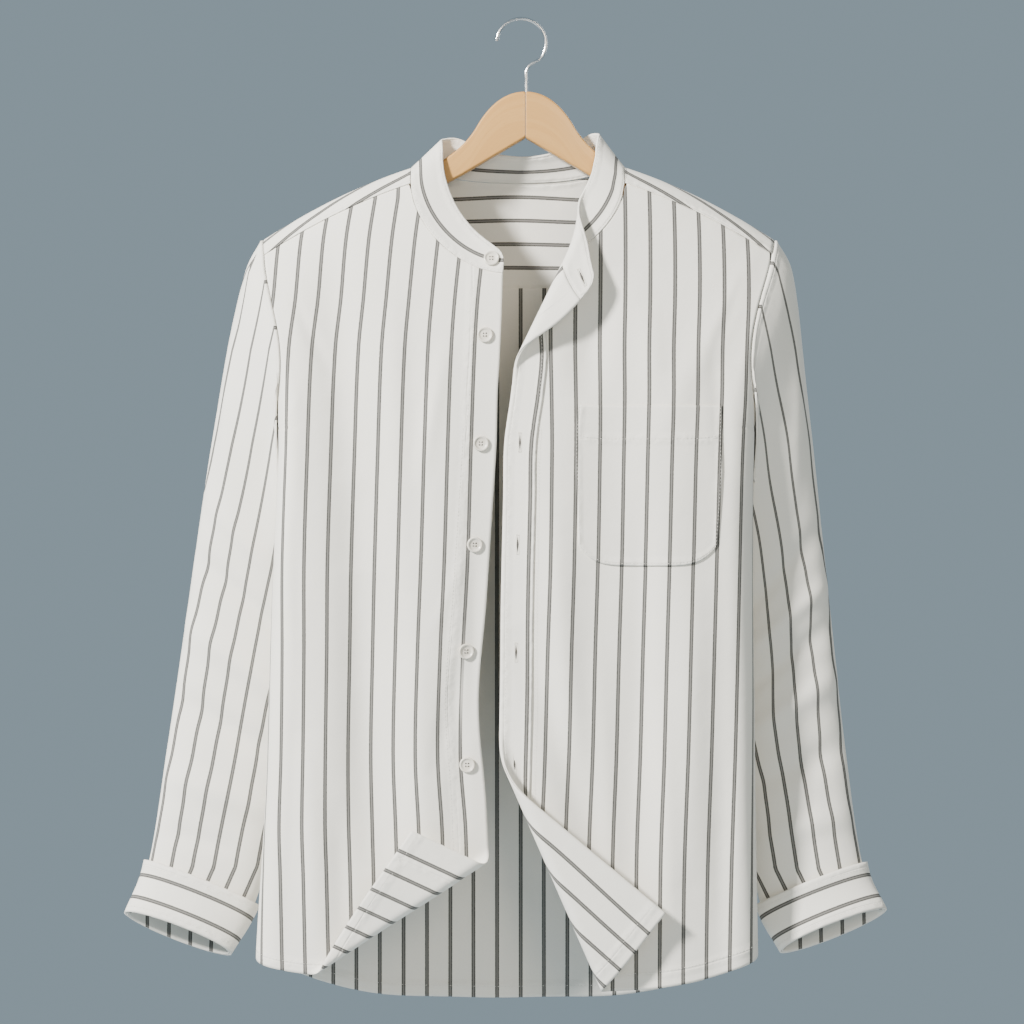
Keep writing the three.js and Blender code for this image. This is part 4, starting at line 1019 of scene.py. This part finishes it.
for side in SIGN:
    shares = np.concatenate([[0.0], np.linspace(0.004, 1, 240)])[:, None]
    turn, share = np.broadcast_arrays(TURN, shares)
    points = sleeve_point(side, turn, share)
    sunk = 1.1 * (1 - ease(share / 0.035)) * np.sin(2 * np.pi * turn)
    points = points + np.stack([0 * sunk, sunk, 0 * sunk], axis=-1)
    seam_row = points[:1] - [SIGN[side] * (SLEEVE_LIP - 0.3), 0, 0]
    points = np.concatenate([seam_row, points])
    down = -points[..., 2]
    fold_distance = from_outer_fold(side, sleeve_form(side, turn, share))
    fold_distance = np.concatenate([fold_distance[:1], fold_distance])
    first, spacing = (read(SLEEVE_STRIPES[side], name, down) for name in ("first", "spacing"))
    across = (fold_distance - first) / spacing * PERIOD
    stretch = np.gradient(arc(points, 1), axis=1) / np.maximum(np.abs(np.gradient(across, axis=1)), 0.05)
    length = arc(points, 0)
    sign = away_from_middle(points)
    cloth(f"cloth_sleeve_{side}", points, np.stack([across, length], axis=-1), sign, 0.9, -0.5,
          f"sleeve_{side}", wrap=True, seam=np.abs(length - 6.0), stretch=np.clip(stretch, 0.4, 6))
    sleeve_area[side] = area_of(points)

    turn, t = np.broadcast_arrays(TURN, np.linspace(0, 1, 26)[:, None])
    points = sleeve_form(side, turn, lerp(CUFF["from"], 1, t))
    round_arm = arc(points, 1)
    down_cuff = arc(points, 0)
    height = down_cuff[-1]
    stand = CUFF["clear"] + CUFF["flare"] * (1 - t)
    out = points + normals(points, sign, True) * (stand + CUFF["wall"] / 2)[..., None]
    across = down_cuff - height / 2 + PERIOD / 2
    cloth(f"cloth_cuff_{side}", out, np.stack([across, round_arm], axis=-1), sign, 1.7, 0.0,
          f"cuff_{side}", wrap=True, seam=np.minimum(np.abs(down_cuff - 5), np.abs(height - down_cuff - 5)))
print("sleeves:", {k: round(v, 3) for k, v in sleeve_area.items()}, "m2")

# %% Collar, front band and pocket
COLLAR_STRIPE = 11.5
at, up = np.broadcast_arrays(np.linspace(0, 1, 330)[None], np.linspace(0, 1, 24)[:, None])
points = collar_point(at, up)
height = arc(points, 0)
around = arc(points, 1)
edge = np.minimum(height[-1] - height, np.minimum(around, around[:, -1:] - around))
cloth("cloth_collar", points, np.stack([height - COLLAR_STRIPE, around], axis=-1), -1, 1.7, -0.4, "collar_band",
      plain=np.maximum(ease((at - 0.86) / 0.02), ease((height - 21) / 1.0)),
      seam=np.minimum(np.abs(edge - 2.2), np.abs(height - 1.6)))
collar_area = area_of(points)

BAND_WIDTH = 29.0
BAND_STRIPE = 24.3
share, t = np.broadcast_arrays(np.linspace(0, 1, 15)[None], np.linspace(0, 1, 330)[:, None])
width = on_lines("left", np.full(t.shape, 0.1), front_down("left", np.full(t.shape, 0.1), t))[2]
along = share * BAND_WIDTH
down = front_down("left", along / width, t)
points = front_point("left", along / width, down)
length = arc(points, 0)
cloth("cloth_placket_left", points, np.stack([along - BAND_STRIPE, length], axis=-1), -1, 0.9, 0.55, "placket_left",
      plain=ease((14 - along) / 2), seam=np.minimum(np.abs(along - 4), np.abs(BAND_WIDTH - along - 2.5)))
band_area = area_of(points)


def pocket_place(u, t):
    """Distance from the front edge and depth of a point of the pocket, its lower corners rounded."""
    foot = POCKET["bottom"] - POCKET["corner"] * np.abs(2 * u - 1) ** 5
    down = lerp(POCKET["top"], foot, t)
    lean = POCKET["lean"] * clamp(1 - 2 * t) ** 1.5
    along = lerp(POCKET["from"] + POCKET["taper"] * t, POCKET["to"] - POCKET["taper"] * t - lean, u)
    return along, down


def pocket_surface(u, t):
    """Point of the front under a place of the pocket."""
    along, down = pocket_place(u, t)
    width = on_lines("left", np.full(down.shape, 0.5), down)[2]
    return front_point("left", along / width, down)


u, t = np.broadcast_arrays(np.linspace(0, 1, 66)[None], np.linspace(0, 1, 66)[:, None])
along, down = pocket_place(u, t)
points = pocket_surface(u, t)
edge = np.minimum(np.minimum(arc(points, 1), arc(points[:, ::-1], 1)[:, ::-1]), arc(points[::-1], 0)[::-1])
hem = np.abs(arc(points, 0) - 30)
cloth("cloth_pocket", points, np.stack([stripe_u("left", along, down), down], axis=-1), -1, 0.9, 0.6, "pocket",
      seam=np.minimum(np.abs(edge - 1.8), hem))
pocket_area = area_of(points)
print("collar", round(collar_area, 4), "band", round(band_area, 4), "pocket", round(pocket_area, 4), "m2")

# %% [markdown]
# ## Sewing
#
# A stitch is a small lens of thread, laid along its seam on the outer face of the cloth. Each row
# follows a line on a piece's own surface, so it goes round the turned corners with the cloth.

# %% Rows of stitches
STITCH = {"pitch": 3.2, "length": 2.3, "wide": 0.42, "high": 0.30}
LENS = np.array([(-0.5, 0, 0), (0.5, 0, 0), (0, 0.5, 0), (0, -0.5, 0), (0, 0, 1), (0, 0, -0.3)], float)
LENS_FACES = np.array([(0, 3, 4), (3, 1, 4), (1, 2, 4), (2, 0, 4), (3, 0, 5), (1, 3, 5), (2, 1, 5), (0, 2, 5)])


def on_cloth(surface, a, b, sign, outward, step=0.003):
    """Points over a surface at some places, and its unit normals there, from small steps both ways."""
    a, b = np.broadcast_arrays(np.asarray(a, float), np.asarray(b, float))
    p = surface(a, b)
    across = surface(a + step, b) - surface(a - step, b)
    along = surface(a, b + step) - surface(a, b - step)
    n = np.cross(across, along) * sign
    n /= np.maximum(np.linalg.norm(n, axis=-1, keepdims=True), 1e-9)
    return p + n * outward, n


def lenses(p, direction, n, size):
    """Points and faces of small lenses at p, long ways along a direction and raised along n."""
    d = direction / np.maximum(np.linalg.norm(direction, axis=-1, keepdims=True), 1e-9)
    side = np.cross(n, d)
    basis = np.stack([d * size[0], side * size[1], n * size[2]], axis=1)
    points = p[:, None, :] + np.einsum("kj,njc->nkc", LENS, basis)
    faces = LENS_FACES[None] + (np.arange(len(p)) * len(LENS))[:, None, None]
    return points.reshape(-1, 3), faces.reshape(-1, 3)


def stitch_row(p, n):
    """Lenses at an even pitch along a line of points with normals."""
    lengths = np.concatenate([[0], np.cumsum(np.linalg.norm(np.diff(p, axis=0), axis=1))])
    at = np.arange(STITCH["pitch"] / 2, lengths[-1], STITCH["pitch"])
    spot, normal, ahead = (np.stack([np.interp(where, lengths, values[:, k]) for k in range(3)], axis=-1)
                           for where, values in ((at, p), (at, n), (at + 0.5, p)))
    normal /= np.maximum(np.linalg.norm(normal, axis=-1, keepdims=True), 1e-9)
    return lenses(spot, ahead - spot, normal, (STITCH["length"], STITCH["wide"], STITCH["high"]))


def joined(name, parts, material, slot):
    """One piece of many small ones, each given as points and triangles."""
    counts = np.cumsum([0] + [len(p) for p, _ in parts])
    points = np.concatenate([p for p, _ in parts])
    faces = np.concatenate([f + c for (_, f), c in zip(parts, counts)])
    mesh = bpy.data.meshes.new(name)
    mesh.from_pydata((points * MM).tolist(), [], faces.tolist())
    mesh.shade_smooth()
    return place(name, mesh, material, slot)


def line(a, b, steps):
    """Places from a to b."""
    return np.linspace(a, b, steps)


OVER = -0.28
rows = []
for side in SIGN:
    surface = front_surface(side)
    sign = 1 if side == "right" else -1
    drop = 1 - HEM_STITCH[side] / 620
    rows.append(on_cloth(surface, line(0.01, 0.985, 300), drop, sign, OVER))
    rows.append(on_cloth(surface, line(0.01, 0.985, 300), drop, sign, OVER - 0.95))
surface = front_surface("right")
rows.append(on_cloth(surface, STAND_WIDTH / 215, line(0.03, 0.985, 300), 1, OVER))
surface = front_surface("left")
for place_in in (4, BAND_WIDTH - 2.5):
    rows.append(on_cloth(surface, place_in / 228, line(0.02, 0.985, 300), -1, 1.03))


def back_surface(share, t):
    """The back as a function of the share of its width and of its depth."""
    return back_point(share, back_down(share, t))


for outward in (OVER, OVER - 0.95):
    rows.append(on_cloth(back_surface, line(0.01, 0.99, 300), 1 - 10 / 640, 1, outward))
rows.append(on_cloth(pocket_surface, line(0.02, 0.98, 80), 30 / 143, -1, 1.08))
inset = 1.8 / 139
foot = 0.985
across = np.concatenate([np.full(60, inset), line(inset, 1 - inset, 60), np.full(60, 1 - inset)])
down_up = np.concatenate([line(0.0, foot, 60), np.full(60, foot), line(foot, 0.0, 60)])
rows.append(on_cloth(pocket_surface, across, down_up, -1, 1.08))
rows.append(on_cloth(collar_point, line(0.006, 0.994, 300), 0.93, -1, 0.48))
rows.append(on_cloth(collar_point, line(0.006, 0.994, 300), 0.06, -1, 0.48))
rows.append(on_cloth(collar_point, line(0.006, 0.994, 300), 0.93, -1, -1.28))


def cuff_surface(side):
    """A cuff's outer face as a function of the turn and of the place down it."""
    return lambda turn, t: sleeve_form(side, turn, lerp(CUFF["from"], 1, t))


for side in SIGN:
    ends = np.broadcast_arrays(TURN, np.array([[0.9], [0.95], [1.0]]))
    sign = away_from_middle(sleeve_form(side, *ends))
    for t in (0.1, 0.9):
        stand = CUFF["clear"] + CUFF["flare"] * (1 - t) + CUFF["wall"] / 2 + 0.88
        rows.append(on_cloth(cuff_surface(side), line(0.003, 0.997, 160), t, sign, stand))

joined("stitches", [stitch_row(p, n) for p, n in rows], thread_material, "shirt_cloth")
print("stitches:", len(pieces["stitches"].data.polygons) // len(LENS_FACES))

# %% [markdown]
# ## Buttons and buttonholes
#
# A button is a turned disc: a raised rim, a dished middle with four holes filled with painted shade and a cross of
# thread.
# A buttonhole is a slit of painted shade between two close rows of stitches, barred at both its ends.

# %% Buttons
BUTTON_PROFILE = np.array([  # radius, height
    (0.0, 1.25), (1.5, 1.22), (3.0, 1.2), (4.2, 1.3), (4.9, 1.8), (5.5, 2.3), (6.1, 2.45), (6.6, 2.25),
    (6.9, 1.8), (7.0, 1.3), (6.9, 0.7), (6.4, 0.25), (5.0, 0.0), (0.0, 0.0),
])
HOLES = [(1.25, 1.25), (-1.25, 1.25), (-1.25, -1.25), (1.25, -1.25)]


def smooth_profile(rows, steps):
    """Rows followed closely: each span cut into even steps."""
    t = np.linspace(0, len(rows) - 1, steps)
    return np.stack([np.interp(t, np.arange(len(rows)), rows[:, k]) for k in range(2)], axis=-1)


def frame_at(p, n, down=(0, 0, -1)):
    """Across, down and out directions of a small thing sewn on the cloth at p."""
    n = n / np.linalg.norm(n)
    d = np.array(down, float) - np.dot(down, n) * n
    d /= np.linalg.norm(d)
    return p, np.cross(d, n), d, n


def at_frame(spot, points):
    """Points given across, down and out of a frame, in the shirt's own place."""
    p, across, down, out = spot
    return p + points[..., :1] * across + points[..., 1:2] * down + points[..., 2:] * out


def button(name, spot, nodes):
    """Turned disc, and apart from it the painted-shade discs of its holes and the lenses of its thread."""
    profile = smooth_profile(BUTTON_PROFILE, 40)
    turn = np.linspace(0, 2 * np.pi, 49)[None]
    r, h = profile[:, :1], profile[:, 1:]
    disc = np.stack([r * np.cos(turn), -r * np.sin(turn), h + 0 * turn], axis=-1)
    piece = place(name, grid_mesh(name, at_frame(spot, disc), -1, True), plastic_material, "button", nodes)
    bevel = np.linspace(0, 2 * np.pi, 17)[None]
    ring = np.array([(0.0, 1.30), (0.62, 1.30), (0.72, 1.22)])
    holes = []
    # Each hole is a dark disc of painted shade on the dished face.
    for k, (x, y) in enumerate(HOLES):
        pit = np.stack([x + ring[:, :1] * np.cos(bevel), y - ring[:, :1] * np.sin(bevel),
                        ring[:, 1:] + 0 * bevel], axis=-1)
        holes.append(grid_mesh(f"{name}_hole", at_frame(spot, pit), -1, True))
    strands = []
    for x, y in ((0, 1.25), (0, -1.25)):
        for off in (-0.22, 0.22):
            strands.append((np.array([x, y + off, 1.42]), np.array([1.0, 0.12 * np.sign(off), 0])))
    points, ways = (np.array([s[k] for s in strands]) for k in range(2))
    across = ways @ np.array(spot[1:])
    normal = np.broadcast_to(spot[3], across.shape)
    thread = lenses(at_frame(spot, points), across, normal, (2.9, 0.21, 0.28))
    return piece, holes, thread


button_threads, hole_meshes = [], []


def right_front(share, down):
    """The right front as a function of the share of its width and of the depth in millimetres."""
    return front_point("right", share, down)


for k, depth in enumerate(BUTTON_DOWNS, 1):
    width = on_lines("right", np.array(0.1), np.array(float(depth)))[2]
    share = BUTTON_FROM_EDGE / width
    p, n = on_cloth(right_front, share, float(depth), 1, 0.35, 0.01)
    if n[1] > 0:
        n = -n
    piece, holes, thread = button(f"button_shell_{k}", frame_at(p, n), (f"button_{k}",))
    hole_meshes += holes
    button_threads.append(thread)
p, n = on_cloth(collar_point, 0.028, 0.5, -1, 0.5)
piece, holes, thread = button("button_shell_collar", frame_at(p, n), ("button_collar",))
hole_meshes += holes
button_threads.append(thread)


def mesh_parts(mesh):
    """Points in millimetres and triangles of a mesh."""
    mesh.calc_loop_triangles()
    points = np.empty(len(mesh.vertices) * 3)
    faces = np.empty(len(mesh.loop_triangles) * 3, dtype=np.int32)
    mesh.vertices.foreach_get("co", points)
    mesh.loop_triangles.foreach_get("vertices", faces)
    return points.reshape(-1, 3) / MM, faces.reshape(-1, 3)


# The dark discs in the buttons' holes are painted shade.
joined("button_holes_painted_shade", [mesh_parts(mesh) for mesh in hole_meshes], painted_shade_material, "button")
for mesh in hole_meshes:
    bpy.data.meshes.remove(mesh)
joined("button_threads", button_threads, thread_material, "button")
print("buttons:", len(BUTTON_DOWNS) + 1)

# %% Buttonholes
HOLE = {"length": 16.0, "slit": 2.0, "row": 1.25, "pitch": 0.8}
HOLE_DOWNS = [384, 475, 571, 671]


def buttonhole(spot):
    """Slit and stitches of one buttonhole that runs down from its frame's middle."""
    half = HOLE["length"] / 2
    # The slit is a thin lens of painted shade.
    slit = lenses(spot[0][None] + 0.05 * spot[3], np.array([spot[2]]), np.array([spot[3]]),
                  (HOLE["length"] * 0.98, HOLE["slit"], 0.16))
    places, ways = [], []
    for side in (-1, 1):
        for y in np.arange(-half, half + 0.01, HOLE["pitch"]):
            places.append((side * HOLE["row"], y, 0.12))
            ways.append((1.0, 0.0, 0.0))
    for y in (-half - 0.5, half + 0.5):
        for x in np.arange(-1.2, 1.21, 0.6):
            places.append((x, y, 0.12))
            ways.append((0.0, 1.0, 0.0))
    ways = np.array(ways) @ np.array(spot[1:])
    facing = np.broadcast_to(spot[3], ways.shape)
    stitches = lenses(at_frame(spot, np.array(places)), ways, facing, (1.3, 0.32, 0.34))
    return slit, stitches


slits, edges = [], []


def band_surface(a, b):
    """The left front as a function of the share of the width and of the depth in millimetres."""
    return front_point("left", a, b)


spots = []
for depth in HOLE_DOWNS:
    width = on_lines("left", np.array(0.1), np.array(float(depth)))[2]
    p, n = on_cloth(band_surface, 14.0 / width, float(depth), -1, 1.02, 0.01)
    spots.append(frame_at(p, n))
along_collar = collar_point(np.array(0.985), np.array(0.5)) - collar_point(np.array(0.96), np.array(0.5))
for face, outward in ((-1, 0.48), (1, 1.28)):
    p, n = on_cloth(collar_point, 0.97, 0.5, face, outward)
    spots.append(frame_at(p, n, along_collar))
for spot in spots:
    slit, stitches = buttonhole(spot)
    slits.append(slit)
    edges.append(stitches)
# The slits are lenses of painted shade.
joined("buttonhole_slits_painted_shade", slits, painted_shade_material, "shirt_cloth")
joined("buttonhole_stitches", edges, thread_material, "shirt_cloth")
print("buttonholes:", len(spots))

# %% [markdown]
# ## Hanger and hook
#
# The two arms are one board cut in the middle, with rounded edges. The hook is a round wire that
# rises from the joint, bends to its crown and ends in a small ball.

# %% Hanger arms
def bezier(points, steps):
    """Points along a cubic curve given by its four control points."""
    t = np.linspace(0, 1, steps)[:, None]
    a, b, c, d = (np.array(p, float) for p in points)
    return (1 - t) ** 3 * a + 3 * t * (1 - t) ** 2 * b + 3 * t * t * (1 - t) * c + t**3 * d


def arm_top(side, x):
    """Height of an arm's top edge: two curves by the neck, then just under the shoulder ridge."""
    def under(at):
        inner = (HANGER["tip"] - at) / HANGER["tip"]
        return -ridge_down(SIGN[side] * at) - HANGER["under"] - HANGER["neck_under"] * inner

    neck = np.concatenate([
        bezier([(0, -HANGER["crown"]), (22, -HANGER["crown"]), (36, -82), (45, -98)], 40),
        bezier([(45, -98), (52, -110), (66, -124), (94, under(94.0))], 40),
    ])
    return np.where(x < 94, np.interp(x, neck[:, 0], neck[:, 1]), under(np.maximum(x, 94)))


def hanger_arm(side):
    """Tube with a rounded square section between the arm's top and foot, closed at both its ends."""
    tip, edge = HANGER["tip"], 2.6
    top_tip = float(arm_top(side, np.array(float(tip))))
    foot_x = [0, 57, 120, tip - 6, tip + 2]
    foot_z = [-HANGER["apex"], -140.5, float(arm_top(side, np.array(120.0))) - 27,
              top_tip - HANGER["height"], top_tip - HANGER["height"] + 1.5]
    quarter = np.linspace(0.1, 1, 10) * np.pi / 2
    x = np.concatenate([[0.2, 0.2, 0.5, 1.2], np.linspace(3, tip - 8, 110), tip - 8 + 8.5 * np.sin(quarter),
                        [tip + 0.5]])
    close = np.ones(len(x))
    close[0], close[-1] = 0.0, 0.0
    close[1], close[2] = 0.97, 0.985
    round_tip = clamp((x - (tip - 8)) / 8.5)
    shrink = 1 - 0.32 * (1 - np.sqrt(1 - round_tip**2))
    top, foot = arm_top(side, x), np.interp(x, foot_x, foot_z)
    middle, half = (top + foot) / 2, (top - foot) / 2 * shrink
    angle = np.linspace(0, 2 * np.pi, 73)[None] + 0.001
    corner = np.minimum(edge, half)[:, None]
    c, s = np.cos(angle), np.sin(angle)
    y = (np.sign(c) * (HANGER["half"] * shrink[:, None] - corner) + corner * c) * close[:, None]
    z = (np.sign(s) * (half[:, None] - corner) + corner * s) * close[:, None]
    points = np.stack([SIGN[side] * x[:, None] + 0 * y, y, middle[:, None] + z], axis=-1)
    along = arc(points, 0)
    around = arc(points, 1)
    sign = away_from_middle(points[3:-4])
    uv = np.stack([along + (0 if side == "left" else 400), around], axis=-1)
    return place(f"arm_{side}", grid_mesh(f"arm_{side}", points, sign, True, uv), wood_material, "hanger_wood",
                 (f"hanger_arm_{side}",))


for side in SIGN:
    hanger_arm(side)

# %% Hook
centre_z = HOOK["wire"] / 2 - HOOK["radius"]
bend = np.radians(np.arange(-38, 171, 16))
corners = np.concatenate([
    [(HOOK["stem_x"], -HANGER["crown"]), (HOOK["stem_x"], -56), (HOOK["stem_x"], -47), (4, -40.5)],
    np.stack([HOOK["centre_x"] + HOOK["radius"] * np.cos(bend), centre_z + HOOK["radius"] * np.sin(bend)], axis=-1),
])
lengths = np.concatenate([[0], np.cumsum(np.linalg.norm(np.diff(corners, axis=0), axis=1))])
path = table("at x z", np.column_stack([lengths, corners]))
at = np.linspace(0, lengths[-1], 200)
line_x, line_z = read(path, "x", at), read(path, "z", at)
way = np.stack([np.gradient(line_x), np.gradient(line_z)], axis=-1)
way /= np.linalg.norm(way, axis=-1, keepdims=True)
angle = np.linspace(0, 2 * np.pi, 25)[None]
radius = HOOK["wire"] / 2
tube = np.stack([line_x[:, None] - radius * np.cos(angle) * way[:, 1:], radius * np.sin(angle) + 0 * way[:, :1],
                 line_z[:, None] + radius * np.cos(angle) * way[:, :1]], axis=-1)
turn = np.linspace(0, np.pi, 25)[:, None]
ball = np.stack([line_x[-1] + HOOK["ball"] * np.sin(turn) * np.cos(angle), HOOK["ball"] * np.sin(turn) * np.sin(angle),
                 line_z[-1] + HOOK["ball"] * np.cos(turn) + 0 * angle], axis=-1)
parts = []
for points in (tube, ball):
    mesh = grid_mesh("hook_part", points, away_from_middle(points[1:-1]), True)
    parts.append(mesh_parts(mesh))
    bpy.data.meshes.remove(mesh)
joined("hook_wire", parts, steel_material, "hook_steel")
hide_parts("hook")
print("hook wire:", round(float(lengths[-1])), "mm")

# %% [markdown]
# ## Floor and flat sizes
#
# The floor is one pale disc well below the shirt. The flat sizes of the cloth pieces and their
# shares of area are printed, and the triangles counted.

# %% Floor
FLOOR = {"down": 1750.0, "radius": 4600.0}
reach = np.linspace(0, FLOOR["radius"], 12)[:, None]
ring, turn = np.broadcast_arrays(reach, np.linspace(0, 2 * np.pi, 97)[None])
points = np.stack([ring * np.cos(turn), ring * np.sin(turn), 0 * ring - FLOOR["down"]], axis=-1)
mesh = grid_mesh("floor", points, 1)
floor = bpy.data.objects.new("floor", mesh)
scene.collection.objects.link(floor)
floor_material, tree, shader = new_material("floor")
shader.inputs["Base Color"].default_value = (0.42, 0.48, 0.52, 1)
shader.inputs["Roughness"].default_value = 0.9
mesh.materials.append(floor_material)

# %% Flat sizes of the cloth
HANGS_FROM = {
    "cloth_yoke": ["hanger_arm_right", "hanger_arm_left"], "cloth_back": ["cloth_yoke"],
    "cloth_front_right": ["cloth_yoke"], "cloth_front_left": ["cloth_yoke"],
    "cloth_placket_left": ["cloth_front_left"], "cloth_pocket": ["cloth_front_left"],
    "cloth_collar": ["cloth_yoke"], "cloth_sleeve_right": ["cloth_yoke"], "cloth_sleeve_left": ["cloth_yoke"],
    "cloth_cuff_right": ["cloth_sleeve_right"], "cloth_cuff_left": ["cloth_sleeve_left"],
}
for name, holders in HANGS_FROM.items():
    form = forms[name]
    flat = [float(arc(form, 1)[:, -1].max()) * MM, float(arc(form, 0)[-1].max()) * MM]
    share = area_of(form) / (flat[0] * flat[1])
    print(name, "flat", [round(v, 3) for v in flat], "m, area share", round(share, 2))

# %% Triangle count
triangles = sum(len(p.vertices) - 2 for o in pieces.values() for p in o.data.polygons)
print("triangles before the walls:", triangles)
